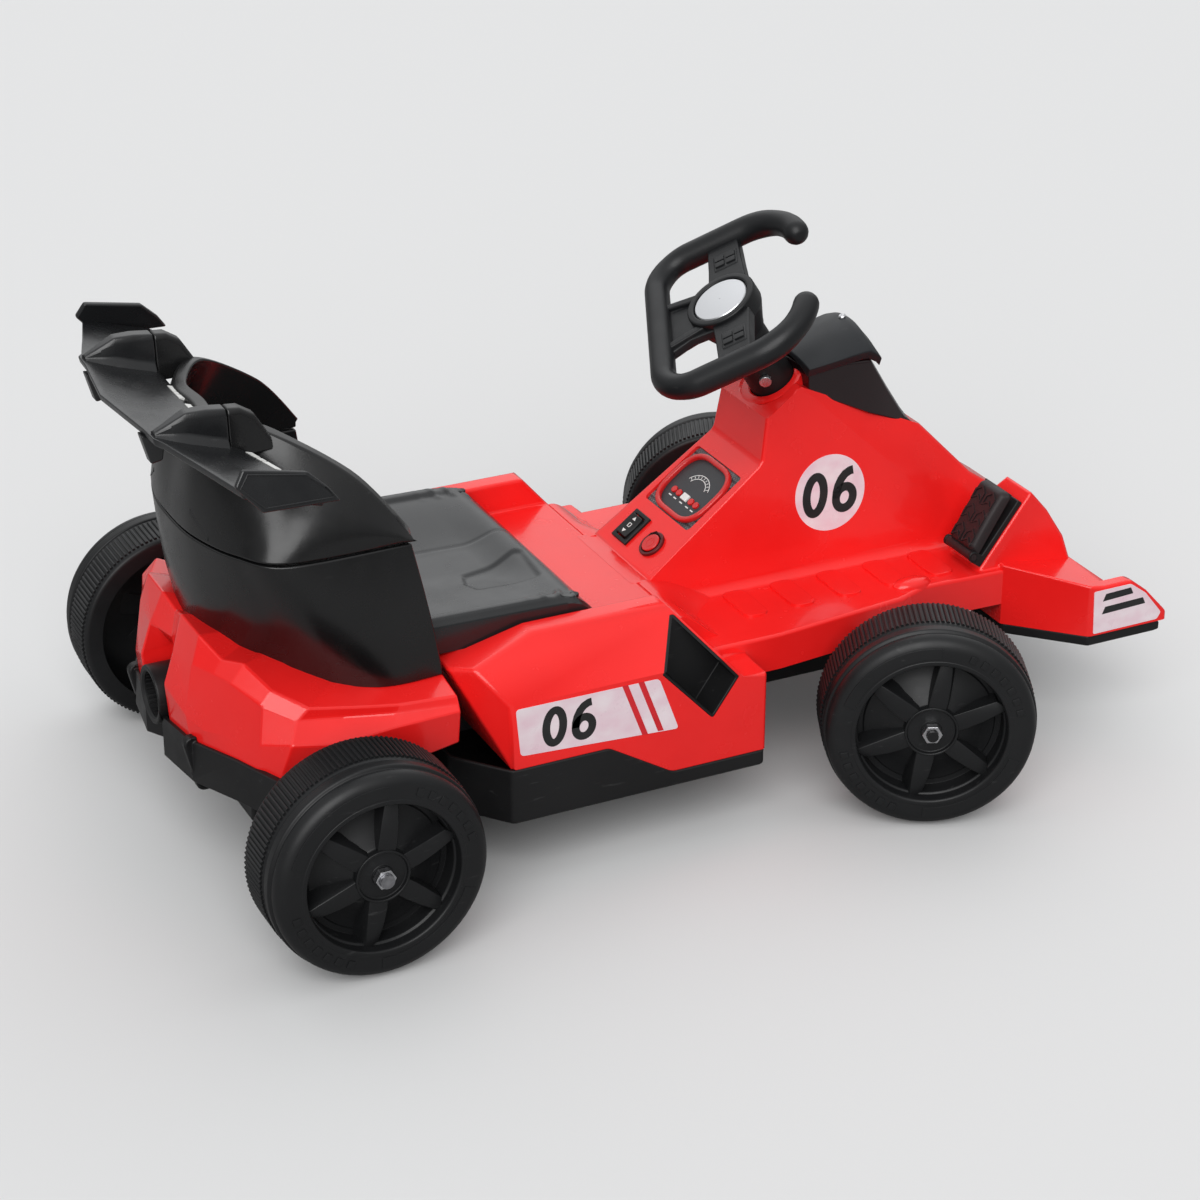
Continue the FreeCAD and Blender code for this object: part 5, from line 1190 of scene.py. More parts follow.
@dataclass
class Steering:
    """Steering wheel with its hub, pads, silver disc, neck and bolt."""

    rest: float = 28.0
    grip: float = 12.4
    grip_sides: int = 22
    swell: float = 0.9
    hand_share: float = 0.27
    hand_reach: float = 0.12
    hand_gain: float = 1.6
    half: float = 95.0
    bottom: float = 63.0
    corner: float = 34.0
    corner_steps: int = 12
    shoulder: float = 52.0
    shoulder_start: float = 26.0
    shoulder_steps: int = 15
    sweep: float = 76.0
    bolt_lift: float = 18.0
    turn_steps: int = 72
    hub_profile: Outline = (
        (25.4, 3.0), (26.2, 3.6), (26.6, 6.4), (27.6, 7.0), (31.0, 7.0), (32.4, 6.4), (33.0, 5.0),
        (33.0, -9.0), (32.0, -12.0), (27.5, -22.0), (23.5, -31.0), (22.8, -34.0), (5.2, -34.0), (5.2, 3.0))
    disc_profile: Outline = (
        (0.4, 4.4), (25.2, 4.4), (25.5, 5.2), (24.6, 6.2), (16.0, 6.75), (8.0, 6.95), (0.4, 7.0))
    neck_profile: Outline = (
        (5.2, -112), (20.2, -112), (21.0, -111.2), (21.0, -62.0), (20.4, -61.0), (20.4, -58.5), (21.0, -57.5),
        (21.0, -36.0), (20.0, -34.2), (5.2, -34.2))
    neck_steps: int = 64
    spoke_plates: tuple[tuple[Outline, float, float], ...] = (
        (((-12, 22), (25, 24), (23, 52), (21, 90), (-9, 90), (-10, 52)), -9.0, 12.2),
        (((-3.8, 46.5), (19.8, 46.5), (19.8, 69.5), (-3.8, 69.5)), 1.0, 3.1),
        (((-8, 24), (-62, 34), (-62, 27.0), (-14, 16)), -9.5, 13.4),
        (((-12, 20), (-6, 33), (-34, 30), (-58, 38), (-60, 22)), -8.0, 8.5))
    web: Outline = ((-10, -27), (-10, 27), (-62, 30), (-62, -30))
    web_depth: float = 9.0
    pad_middle: float = 58.0
    pad_reach: Span = (-2.9, 18.9)
    pad_half: float = 8.4
    pad_low: float = 2.2
    pad_high: float = 5.5
    pad_sunk: float = 1.6
    cell_rows: Span = (2.6, 13.4)
    cell_aside: float = 4.1
    cell_size: Place = (9.2, 6.8, 2.6)

    def place(self) -> Matrix:
        """Give the matrix from the wheel's frame: up the wheel, to its left, out of its face."""
        tilt = Matrix.Rotation(math.radians(-COLUMN_TILT), 4, "Y")
        turn = Matrix.Rotation(math.radians(-self.rest), 4, "Z")
        return Matrix.Translation(at(*COLUMN_TOP)) @ tilt @ turn

    def path(self) -> list[Vector]:
        """Draw the grip's middle line from the right tip round the bottom to the left tip."""
        right = []
        inner = self.half - self.shoulder
        for step in range(self.shoulder_steps + 1):
            angle = math.radians(self.sweep) * (1 - step / self.shoulder_steps)
            right.append((self.shoulder_start + self.shoulder * math.sin(angle),
                          -(inner + self.shoulder * math.cos(angle))))
        middle = self.corner - self.bottom
        for step in range(self.corner_steps + 1):
            angle = math.pi / 2 * step / self.corner_steps
            right.append((middle - self.corner * math.sin(angle),
                          -(self.half - self.corner + self.corner * math.cos(angle))))
        whole = right + [(x, -y) for x, y in reversed(right)]
        return [Vector((x, y, 0)) * MM for x, y in whole]

    def grip_radius(self, share: float) -> float:
        """Give the grip's radius along its line, a little fuller at the hands."""
        hands = max(0.0, 1 - abs(abs(share - 0.5) - self.hand_share) / self.hand_reach)
        return (self.grip - self.swell + self.swell * min(1.0, hands * self.hand_gain)) * MM

    def wheel(self) -> Mesh:
        """Gather grip, hub and spokes."""
        hub = moved(lathe(self.hub_profile, self.turn_steps), UPRIGHT)
        parts = [tube(self.path(), self.grip_radius, self.grip_sides), hub]
        for sign in (-1, 1):
            for outline, low, height in self.spoke_plates:
                corners = [Vector((x, sign * y, low)) * MM for x, y in outline]
                parts.append(prism(corners, Vector((0, 0, height)) * MM))
        corners = [Vector((x, y, -self.web_depth)) * MM for x, y in self.web]
        parts.append(prism(corners, Vector((0, 0, self.web_depth)) * MM))
        return gathered(*parts)

    def pad(self, sign: int) -> Mesh:
        """Make a pad of two by two cells for one spoke.

        Args:
            sign: -1 right, 1 left.

        Returns:
            The pad in the wheel's frame.
        """
        middle = sign * self.pad_middle
        first, last = self.pad_reach
        low = Vector((first, middle - self.pad_half, self.pad_low))
        high = Vector((last, middle + self.pad_half, self.pad_high - self.pad_sunk))
        cells = [block(low * MM, high * MM)]
        size = Vector(self.cell_size)
        for up in self.cell_rows:
            for aside in (-self.cell_aside, self.cell_aside):
                corner = Vector((up - size.x / 2, middle + aside - size.y / 2, self.pad_high - size.z))
                cells.append(block(corner * MM, (corner + size) * MM))
        return gathered(*cells)

    def build(self) -> None:
        """Build and dress the wheel, its disc, pads, neck and bolt."""
        place = self.place()
        make_piece("steering_wheel_moulding", moved(self.wheel(), place), GRIP, "steering",
                   ("steering_wheel",), Rounding(1.6, 3, 30.0))
        disc = moved(lathe(self.disc_profile, self.turn_steps), place @ UPRIGHT)
        make_piece("steering_disc", disc, SILVER, "steering", ("steering_badge",))
        for side, sign in SIDES:
            make_piece(f"steering_pad_{side}", moved(self.pad(sign), place), GRIP, f"wheel_button_{side}",
                       (f"wheel_button_{side}",), Rounding(0.7, 2))
        neck = moved(lathe(self.neck_profile, self.neck_steps), place @ UPRIGHT)
        make_piece("column_neck", neck, BLACK, "steering", ("column_sleeve",))
        bolt = moved(solid_copy("column_bolt"), Matrix.Translation(-column_down() * self.bolt_lift * MM))
        make_piece("column_bolt_head", bolt, ZINC, "steering", ("column_bolt",),
                   Rounding(0.6, 3))
        paint("steering_column", STEEL)


# Body


@dataclass
class Body:
    """Red body with strips on its floor, hollow fillets beside the console and aprons before the deck."""

    floor: float = 160.0
    strip_start: float = 415.0
    strip_aside: float = 64.0
    strip_step: float = 48.0
    strip_count: int = 5
    strip_length: float = 23.0
    strip_reach: float = 52.0
    strip_corner: float = 9.0
    strip_sunk: float = 1.5
    strip_rise: float = 2.4
    foot_half: float = 58.0
    fillet: float = 11.0
    fillet_stations: tuple[float, ...] = (352.0, 420.0, 500.0, 580.0, 650.0, 684.0)
    deck_level: float = 185.1
    apron_reach: Span = (338.0, 426.0)
    apron_sides: Span = (52.0, 133.0)
    apron_bend: Span = (95.0, 50.0)
    apron_starts: Span = (340.0, 347.0)
    apron_ends: Span = (382.0, 424.0)
    boss_middle: Point = (582.0, 119.0)
    boss_stretch: Point = (1.3, 0.7)
    boss_profile: Outline = ((15.0, -2.0), (14.5, 1.0), (12.5, 3.6), (9.0, 5.2), (4.0, 6.0), (0.5, 6.2))
    collar_bore: float = 22.0
    collar_radius: float = 31.0
    collar_depth: float = 93.6
    collar_foot: float = 112.0
    collar_steps: int = 48

    def strips(self, sign: int) -> Mesh:
        """Repeat the raised strips along one foot well.

        Args:
            sign: -1 right, 1 left.

        Returns:
            The strips.
        """
        start = at(self.strip_start, sign * self.strip_aside, self.floor)
        sheet = Sheet(start, Vector((1, 0, 0)), Vector((0, 1, 0)))
        reach = sign * self.strip_reach
        corners = [(0, 0), (self.strip_length, 0), (self.strip_length, reach), (0, reach)]
        strip = sheet.plate(rounded(corners, self.strip_corner), -self.strip_sunk, self.strip_rise)
        return grown(copies_tree("floor_strips"), {
            "Count": self.strip_count, "Step": (self.strip_step * MM, 0.0, 0.0),
            "Material": RED.material()}, strip)

    def console_fillet(self, sign: int) -> Mesh:
        """Fill the corner between console and floor with a hollow rounding.

        Args:
            sign: -1 right, 1 left.

        Returns:
            The fillet.
        """
        sections = []
        for x in self.fillet_stations:
            ring = [at(x, sign * (self.foot_half - 4), self.floor - 3)]
            for turn in spread(0.0, math.pi / 2, 6):
                aside = self.foot_half - 1.0 + self.fillet * (1 - math.sin(turn))
                ring.append(at(x, sign * aside, self.floor - 0.4 + self.fillet * (1 - math.cos(turn))))
            sections.append(ring)
        return loft(sections)

    def apron_level(self, x: float, y: float) -> float:
        """Give the level of the rounded fall from the deck to the floor.

        Args:
            x: Millimetres ahead of the rear axle.
            y: Millimetres to the left.

        Returns:
            The level.
        """
        inner = ease(*self.apron_bend, abs(y))
        end = blend_between(*self.apron_ends, inner)
        start = blend_between(*self.apron_starts, inner)
        return blend_between(self.deck_level, self.floor - 1.0, ease(start, end, x))

    def apron(self, sign: int) -> Mesh:
        """Round the fall from the deck to the floor."""
        ys = [sign * y for y in spread(*self.apron_sides, 18)]
        return hill(spread(*self.apron_reach, 28), ys, self.apron_level, self.floor - 2)

    def boss(self, sign: int) -> Mesh:
        """Round boss on the floor beside the front wheel.

        Args:
            sign: -1 right, 1 left.

        Returns:
            The boss.
        """
        ahead, aside = self.boss_middle
        long, wide = self.boss_stretch
        rings = []
        for radius, level in self.boss_profile:
            ring = oval((0, 0), radius, radius, 28)
            rings.append([at(ahead + long * x, sign * aside + wide * y, self.floor + level) for x, y in ring])
        return loft(rings)

    def collar(self) -> Mesh:
        """Fill the tower's pocket around the column."""
        tilt = math.radians(COLUMN_TILT)
        ahead = Vector((math.cos(tilt), 0, math.sin(tilt)))
        bore, radius, top, foot = self.collar_bore, self.collar_radius, self.collar_depth, self.collar_foot
        profile = [(bore, foot), (bore, top + 1.0), (bore + 1.5, top), (radius - 3.0, top),
                   (radius, top + 1.0), (radius + 0.4, foot)]
        sections = []
        for turn in spread(0.0, 2 * math.pi, self.collar_steps)[:-1]:
            way = ahead * math.cos(turn) + Vector((0, math.sin(turn), 0))
            offsets = [column_down() * depth + way * reach for reach, depth in profile]
            sections.append([at(*COLUMN_TOP) + offset * MM for offset in offsets])
        return loft(sections, loop=True)

    def build(self) -> None:
        """Build and dress the body and the details moulded on it."""
        make_piece("body_shell_moulding", solid_copy("body_shell"), RED, "chassis",
                   ("body_shell",), Rounding(3.5, 3, 24.0, 0.5))
        parts = [self.collar()]
        for _, sign in SIDES:
            parts += [self.console_fillet(sign), self.apron(sign), self.boss(sign)]
        make_piece("body_details", gathered(*parts), RED, "chassis", (), PLAIN, 30.0)
        strips = gathered(self.strips(-1), self.strips(1))
        make_piece("floor_strips", strips, RED, "chassis", (), Rounding(0.9, 2, 50.0))


# Seat


# A height, then where it starts and ends along the kart, and where it starts and ends aside.
Relief = tuple[float, Span, Span, Span, Span]
ALWAYS = (-1000.0, -999.0)
NEVER = (999.0, 1000.0)


@dataclass
class Seat:
    """Dished seat pan with raised side lips, a recessed panel and ridges at its front corners."""

    rear: float = 61.0
    front: float = 261.7
    half: float = 132.0
    top: float = 228.0
    foot: float = 200.0
    fall: float = 4.0 / 177.0
    nose_start: float = 232.0
    nose_drop: float = 19.0
    nose_power: float = 2.2
    reliefs: tuple[Relief, ...] = (
        (-12.0, ALWAYS, (205.0, 250.0), ALWAYS, (18.0, 116.0)),
        (3.8, ALWAYS, (205.0, 250.0), (113.0, 120.0), (125.0, 131.0)),
        (-3.0, ALWAYS, NEVER, (127.0, 132.0), NEVER))
    panel: Outline = ((179, -27), (172, -50), (176, -72), (236, -74), (243, -18), (237, -11))
    panel_depth: float = 2.6
    panel_slope: Span = (-0.4, 4.2)
    groove_aside: float = 30.0
    groove_band: Span = (0.3, 2.6)
    groove_start: Span = (140.0, 160.0)
    ridge: Relief = (2.2, (188.0, 236.0), (247.0, 254.0), (106.0, 112.0), (122.0, 129.0))
    ridge_origin: float = 200.0
    ridge_wave: Point = (0.42, 0.12)
    shelf_half: Outline = ((-47, 20), (-42, 40), (-32, 60), (-20, 80), (-7, 95), (2, 105), (12, 115),
                           (20, 122), (28, 128), (66, 131))
    shelf_levels: Span = (203.0, 214.0)

    def inside_panel(self, x: float, y: float) -> float:
        """Measure how far inside the recessed panel a place lies.

        Args:
            x: Millimetres ahead of the rear axle.
            y: Millimetres to the left.

        Returns:
            The distance to its border, negative outside.
        """
        nearest = math.inf
        for index, end in enumerate(self.panel):
            start = self.panel[index - 1]
            run = Vector((end[0] - start[0], end[1] - start[1])).normalized()
            nearest = min(nearest, (x - start[0]) * -run.y + (y - start[1]) * run.x)
        return nearest

    def level(self, x: float, y: float) -> float:
        """Give the level of the seat's skin.

        Args:
            x: Millimetres ahead of the rear axle.
            y: Millimetres to the left.

        Returns:
            The level.
        """
        level = self.top - self.fall * (x - self.rear)
        nose = max(0.0, (x - self.nose_start) / (self.front - self.nose_start))
        level -= self.nose_drop * nose ** self.nose_power
        along, across = self.ridge_wave
        wave = math.sin((x - self.ridge_origin) * along + abs(y) * across)
        rows = [(1.0, relief) for relief in self.reliefs] + [(max(0.0, wave), self.ridge)]
        for share, (height, start, end, inside, outside) in rows:
            lengthwise = ease(*start, x) * (1 - ease(*end, x))
            level += share * height * lengthwise * ease(*inside, abs(y)) * (1 - ease(*outside, abs(y)))
        level -= self.panel_depth * ease(*self.panel_slope, self.inside_panel(x, y))
        groove = 1 - ease(*self.groove_band, abs(y - self.groove_aside))
        return level - groove * ease(*self.groove_start, x)

    def shelf(self) -> Mesh:
        """Close the gap between the pan and the seat back's curved wall."""
        low, high = self.shelf_levels
        outline = [*self.shelf_half, *((x, -y) for x, y in reversed(self.shelf_half))]
        return prism([at(x, y, low) for x, y in outline], Vector((0, 0, high - low)) * MM)

    def build(self) -> None:
        """Build and dress the seat pan."""
        xs, ys = spread(self.rear, self.front, 100), spread(-self.half, self.half, 132)
        mesh = gathered(hill(xs, ys, self.level, self.foot), self.shelf())
        make_piece("seat_pan_moulding", mesh, SEAT, "chassis", ("seat_pan",), shading=60.0)
        refine("seat_screws", BLACK, 0.6)


@dataclass
class SeatBack:
    """Curved seat back: a lower wall, a seam and an upper cowl that climbs to the fins."""

    wall: float = 12.0
    steps: int = 10
    foot: tuple[Place, ...] = ((110, 150, 190), (53, 149, 190), (-3, 107, 190), (-43, 53, 190), (-56, 0, 190))
    seam: tuple[Place, ...] = ((90, 138, 309.3), (-15, 137, 309.3), (-49, 103, 309.3), (-67, 52, 309.3),
                               (-71, 0, 309.3))
    bulge: float = 5.0
    crest: tuple[Place, ...] = ((90, 138, 316), (47, 118, 370), (-12, 92, 408), (-45, 46, 408), (-45, 0, 408))
    seam_gap: float = 1.5
    fin_foot: float = 396.0
    fin_stations: Stations = (
        (-46.8, 12, 9.0, 431, 6.0, 436.5), (-36.0, 12, 9.0, 430, 6.0, 435.5),
        (-24.0, 11, 8.6, 422, 5.4, 428.0), (-11.0, 10, 8.0, 402, 4.0, 407.0))
    slot_aim: float = 370.5
    slot_start: int = 26
    slot_steps: int = 5
    slot_band: Span = (0.12, 0.78)
    slot_lean: float = 0.16
    slot_sunk: float = 2.0
    slot_proud: float = 0.5

    def line(self, half: Sequence[Place]) -> list[Vector]:
        """Draw a smooth line from the right front round the rear to the left front."""
        right = [at(x, -y, z) for x, y, z in half]
        left = [at(x, y, z) for x, y, z in reversed(half[:-1])]
        return smooth_line(right + left, self.steps)

    def drawn_in(self, line: Sequence[Vector]) -> list[Vector]:
        """Move a line inwards by the wall's thickness, level with itself.

        Args:
            line: The line, with the seat on its left.

        Returns:
            The moved line.
        """
        moved_line = []
        last = len(line) - 1
        for index, point in enumerate(line):
            way = line[min(index + 1, last)] - line[max(index - 1, 0)]
            inward = Vector((way.y, -way.x, 0)).normalized()
            if index in (0, last):
                inward = Vector((0, -math.copysign(1.0, point.y), 0))
            moved_line.append(point + inward * self.wall * MM)
        return moved_line

    def wall_between(self, low: Sequence[Place], high: Sequence[Place], lift: float) -> Mesh:
        """Loft a wall between two lines.

        Args:
            low: Stations of its lower edge.
            high: Stations of its upper edge.
            lift: How far its lower edge is raised.

        Returns:
            The wall.
        """
        low_out = [point + Vector((0, 0, lift * MM)) for point in self.line(low)]
        high_out = self.line(high)
        sections = []
        for a, b, c, d in zip(low_out, high_out, self.drawn_in(high_out), self.drawn_in(low_out)):
            outward = Vector((a.x - d.x, a.y - d.y, 0)).normalized() * self.bulge * MM
            ring = [a.lerp(b, share) + outward * math.sin(math.pi * share) for share in spread(0.0, 1.0, 6)]
            sections.append(ring + [c, d])
        return loft(sections)

    def fin(self, sign: int) -> Mesh:
        """Raise the front half of one fin, narrower on top.

        Args:
            sign: -1 right, 1 left.

        Returns:
            The fin's half.
        """
        middle = sign * FIN_MIDDLE
        sections = []
        for x, foot, wide, shoulder, crown, top in self.fin_stations:
            half = [(foot, self.fin_foot), (wide, shoulder), (crown, top)]
            ring = [at(x, middle + y, z) for y, z in half]
            sections.append(ring + [at(x, middle - y, z) for y, z in reversed(half)])
        return loft(sections)

    def slot(self, sign: int) -> Mesh:
        """Lay the dark slanted slot of one side on the cowl.

        Args:
            sign: -1 right, 1 left.

        Returns:
            The slot.
        """
        low_out = [point + Vector((0, 0, self.seam_gap * MM)) for point in self.line(self.seam)]
        high_out = self.line(self.crest)
        low, high = self.slot_band
        sections = []
        for step in range(self.slot_steps + 1):
            index = self.slot_start + step
            spot = index if sign < 0 else len(low_out) - 1 - index
            start = low_out[spot]
            inward = (at(self.slot_aim, 0, 0) - Vector((start.x, start.y, 0))).normalized()
            lean = (step / self.slot_steps - 0.5) * self.slot_lean
            ring = []
            for height, outside in ((low, True), (high, True), (high, False), (low, False)):
                proud = -self.bulge * math.sin(math.pi * (height + lean)) - self.slot_proud
                deep = proud if outside else self.slot_sunk
                ring.append(start.lerp(high_out[spot], height + lean) + inward * deep * MM)
            sections.append(ring)
        return loft(sections)

    def build(self) -> None:
        """Build and dress both walls and the slots."""
        base = self.wall_between(self.foot, self.seam, 0.0)
        make_piece("seat_back_base_moulding", base, SHELL_BLACK, "chassis",
                   ("seat_back_base",), Rounding(2.0, 3, 40.0), 50.0)
        cowl = gathered(self.wall_between(self.seam, self.crest, self.seam_gap), self.fin(-1), self.fin(1))
        make_piece("seat_back_cowl_moulding", cowl, SHELL_BLACK, "chassis",
                   ("seat_back_cowl",), Rounding(2.4, 3, 40.0), 50.0)
        make_piece("seat_back_slots", gathered(self.slot(-1), self.slot(1)), INK, "chassis")


# Rear end and hood


@dataclass
class RearWing:
    """Pitched, swept wing blade with rimmed end plates and the rear halves of the fins."""

    pitch: float = 0.30
    hinge: Point = (-38.0, 402.5)
    blade: tuple[Place, ...] = ((-203, -8, -74), (-150, -15, -90), (-106, -32, -104), (-98, -40, -109),
                                (-76, -44, -110), (0, -46, -121))
    fin_stations: Stations = (
        (-47.2, 12, 9.0, 431, 6.0, 436.5), (-64.0, 12, 9.0, 433, 6.0, 438.5),
        (-80.0, 11, 8.0, 433.5, 5.4, 438.5), (-93.0, 8.0, 6.0, 429, 4.0, 432.0),
        (-106.0, 4.0, 3.4, 424.6, 1.6, 425.0))
    fin_flare: float = 7.0
    plate: Outline = ((-79.6, 417.7), (-71.8, 430.5), (-20.7, 420.2), (-5.2, 405.0), (3.0, 393.0),
                      (-59.7, 394.5))
    plate_middle: Place = (-40.0, 206.0, 405.0)
    plate_lean: float = 0.25
    plate_faces: Span = (-3.0, 2.6)
    rim_shrink: Point = (0.90, 0.78)
    rim_lift: float = 5.0
    rim_width: float = 1.6
    rim_levels: Span = (1.6, 3.4)
    strut: Outline = ((-112, 418), (-92, 413), (-95, 394), (-105, 392))
    strut_aside: float = 72.0
    strut_width: float = 12.0
    strip_runs: Stations = (
        (-68.0, -4.0, -41.5, -41.5), (110.0, 144.0, -27.5, -15.5), (-110.0, -144.0, -27.5, -15.5),
        (10.0, 40.0, -41.5, -41.5))
    strip_dashes: tuple[Span, ...] = ((0.0, 0.3), (0.36, 0.5), (0.56, 1.0))
    strip_edges: Span = (5.0, 10.0)
    strip_sunk: float = 1.0
    strip_height: float = 1.9

    def level(self, x: float) -> float:
        """Give the level of the blade's upper face."""
        return self.hinge[1] + self.pitch * (self.hinge[0] - x)

    def span(self) -> Mesh:
        """Loft the blade from end plate to end plate."""
        right = list(self.blade)
        sections = []
        for y, front, rear in right + [(-y, front, rear) for y, front, rear in reversed(right[:-1])]:
            profile = [(front, self.level(front) - 1.5), (front - 7, self.level(front - 7) + 0.4),
                       (rear + 6, self.level(rear + 6)), (rear, self.level(rear) - 0.6),
                       (rear + 1.5, self.level(rear) - 7.5), (rear + 14, self.level(rear + 14) - 7.0),
                       (front, self.level(front) - 6.0)]
            sections.append([at(x, y, z) for x, z in profile])
        return loft(sections)

    def fin(self, sign: int) -> Mesh:
        """Raise the rear half of one fin, running out into a point.

        Args:
            sign: -1 right, 1 left.

        Returns:
            The fin's half.
        """
        middle = sign * FIN_MIDDLE
        sections = []
        for x, foot, wide, shoulder, crown, top in self.fin_stations:
            base = self.level(x)
            flare = base + min(self.fin_flare, (top - base) * 0.3)
            half = [(foot + 4, base - 1), (wide + 1.5, flare), (wide, shoulder), (crown, top)]
            ring = [at(x, middle + y, z) for y, z in half]
            sections.append(ring + [at(x, middle - y, z) for y, z in reversed(half)])
        return loft(sections)

    def end_plate(self, sign: int) -> Mesh:
        """Stand one end plate up, leaning in, with a raised rim.

        Args:
            sign: -1 right, 1 left.

        Returns:
            The plate with its rim.
        """
        ahead, aside, level = self.plate_middle
        lean = Vector((0, -sign * self.plate_lean, 1)).normalized()
        sheet = Sheet(at(ahead, sign * aside, level), Vector((-sign, 0, 0)), lean)
        outline = [(-sign * (x - ahead), z - level) for x, z in self.plate]
        wide, high = self.rim_shrink
        rim = [(u * wide, (v - self.rim_lift) * high + self.rim_lift) for u, v in outline]
        return gathered(sheet.plate(outline, *self.plate_faces),
                        sheet.stroke(rim, self.rim_width, *self.rim_levels, True))

    def stub(self, sign: int) -> Mesh:
        """Hang the short strut below the blade's rear edge."""
        side = sign * self.strut_aside - self.strut_width / 2
        return prism([at(x, side, z) for x, z in self.strut], Vector((0, self.strut_width * MM, 0)))

    def strips(self) -> Mesh:
        """Lay pale strips along the blade's front edge, crossed by gaps."""
        near, far = self.strip_edges
        parts = []
        for start, stop, first, last in self.strip_runs:
            for low, high in self.strip_dashes:
                corners = []
                for share, back in ((low, near), (high, near), (high, far), (low, far)):
                    x = blend_between(first, last, share) - back
                    corners.append(at(x, blend_between(start, stop, share), self.level(x) - self.strip_sunk))
                parts.append(prism(corners, Vector((0, 0, self.strip_height * MM))))
        return gathered(*parts)

    def build(self) -> None:
        """Build and dress the wing."""
        parts = [self.span()]
        for _, sign in SIDES:
            parts += [self.fin(sign), self.end_plate(sign), self.stub(sign)]
        make_piece("rear_wing_moulding", gathered(*parts), WING, "chassis", ("rear_wing",),
                   Rounding(1.8, 3))
        make_piece("rear_wing_strips", self.strips(), BUTTON_WHITE, "chassis")


@dataclass
class Fairing:
    """Red fairing around the seat back: a ledge, a creased flank and a foot, drawn from facet to facet."""

    half: tuple[tuple[Place, ...], ...] = (
        ((110, -146, 190), (110, -178, 184), (110, -182, 178), (110, -185, 172), (110, -180, 141)),
        ((53, -144, 192), (60, -172, 184), (56, -172, 177), (52, -181, 168), (52, -176, 128)),
        ((40, -134, 193), (26, -164, 186), (16, -161, 178), (4, -178, 163), (4, -172, 121)),
        ((24, -124, 195), (-12, -156, 190), (-22, -157, 182), (-33, -171, 167), (-46, -165, 128)),
        ((-4, -103, 206), (-36, -138, 203), (-47, -142, 194), (-52, -147, 160), (-56, -142, 126)),
        ((-20, -86, 212), (-50, -112, 219), (-63, -114, 205), (-68, -112, 156), (-69, -108, 126)),
        ((-34, -69, 216), (-62, -92, 216), (-70, -92, 204), (-80, -88, 152), (-78, -88, 127)),
        ((-45, -55, 222), (-72, -66, 229), (-80, -68, 204), (-88, -66, 158), (-85, -68, 129)),
        ((-56, -22, 224), (-73, -24, 230), (-84, -30, 200), (-94, -30, 172), (-91, -30, 132)),
        ((-57, -12, 222), (-72, -13, 227), (-80, -20, 198), (-66, -26.5, 178), (-64, -26.5, 131)),
        ((-57, 0, 218), (-70, 0, 222), (-75, 0, 198), (-65, 0, 178), (-63, 0, 130)),
    )

    def rings(self) -> list[list[Vector]]:
        """Draw the sections from the right front round the rear to the left front."""
        right = [list(ring) for ring in self.half]
        left = [[(x, -y, z) for x, y, z in ring] for ring in reversed(right[:-1])]
        sections = []
        for ring in right + left:
            outer = [at(*corner) for corner in ring]
            sections.append(outer + [Vector((outer[0].x, outer[0].y, outer[-1].z))])
        return sections

    def build(self) -> None:
        """Build and dress the fairing."""
        make_piece("rear_fairing_moulding", loft(self.rings()), RED, "chassis",
                   ("rear_fairing",), Rounding(1.6, 2, 14.0), 10.0)


@dataclass
class Hood:
    """Hood over the steering tower: an arched visor on a dark wedge, held by a screw."""

    wall: float = 4.0
    fold: float = 9.0
    arch_power: float = 2.2
    arch_steps: int = 20
    visor_stations: Stations = (
        (513, 357.5, 352.0, 42), (530, 364.5, 355.0, 44), (551, 372.5, 358.5, 45), (568, 378.5, 360.5, 45),
        (575, 378.5, 360.0, 44.5), (583, 368.0, 355.0, 43.5), (588, 358.5, 350.0, 42))
    wedge_stations: Stations = (
        (515, 39, 349, 328), (550, 40.5, 354, 312), (578, 40.5, 352, 298), (600, 36, 318, 288),
        (618, 32, 292, 280), (630.5, 29.5, 276.5, 275))
    screw: Place = (569.6, 0.0, 378.6)
    screw_lean: float = -20.0
    screw_profile: Outline = ((0.4, 0.0), (3.4, 0.0), (3.6, 0.8), (2.6, 1.9), (0.4, 2.3))

    def arch(self, x: float, crown: float, edge: float, half: float) -> list[Vector]:
        """Draw one section of the visor, with its rim folded down.

        Args:
            x: Where it stands ahead of the rear axle.
            crown: The level of its middle.
            edge: The level of its sides.
            half: Half its width.

        Returns:
            The section's corners.
        """
        outer, inner = [], []
        for share in spread(-1.0, 1.0, self.arch_steps):
            rise = 1 - abs(share) ** self.arch_power
            outer.append(at(x, share * half, edge + (crown - edge) * rise))
            low = edge - self.fold + (crown - edge + self.wall) * rise
            inner.append(at(x, share * (half - self.wall), low))
        return outer + inner[::-1]

    def visor(self) -> Mesh:
        """Loft the visor from the steering to its folded front lip."""
        return loft([self.arch(*station) for station in self.visor_stations])

    def wedge(self) -> Mesh:
        """Loft the wedge that carries the visor on the tower's ridge."""
        sections = []
        for x, half, top, low in self.wedge_stations:
            ring = [(-half, low), (half, low), (half - 1, top - 4), (half - 5, top), (5 - half, top),
                    (1 - half, top - 4)]
            sections.append([at(x, y, z) for y, z in ring])
        return loft(sections)

    def build(self) -> None:
        """Build and dress visor, wedge and screw."""
        make_piece("front_hood_visor", self.visor(), HOOD, "chassis", ("front_hood",),
                   Rounding(1.2, 2, 40.0), 40.0)
        make_piece("front_hood_wedge", self.wedge(), MAROON, "chassis", (),
                   Rounding(1.5, 3, 30.0))
        lean = Matrix.Rotation(math.radians(self.screw_lean), 4, "Y")
        head = moved(lathe(self.screw_profile, 24), Matrix.Translation(at(*self.screw)) @ lean @ UPRIGHT)
        make_piece("front_hood_screw", head, ZINC, "chassis")


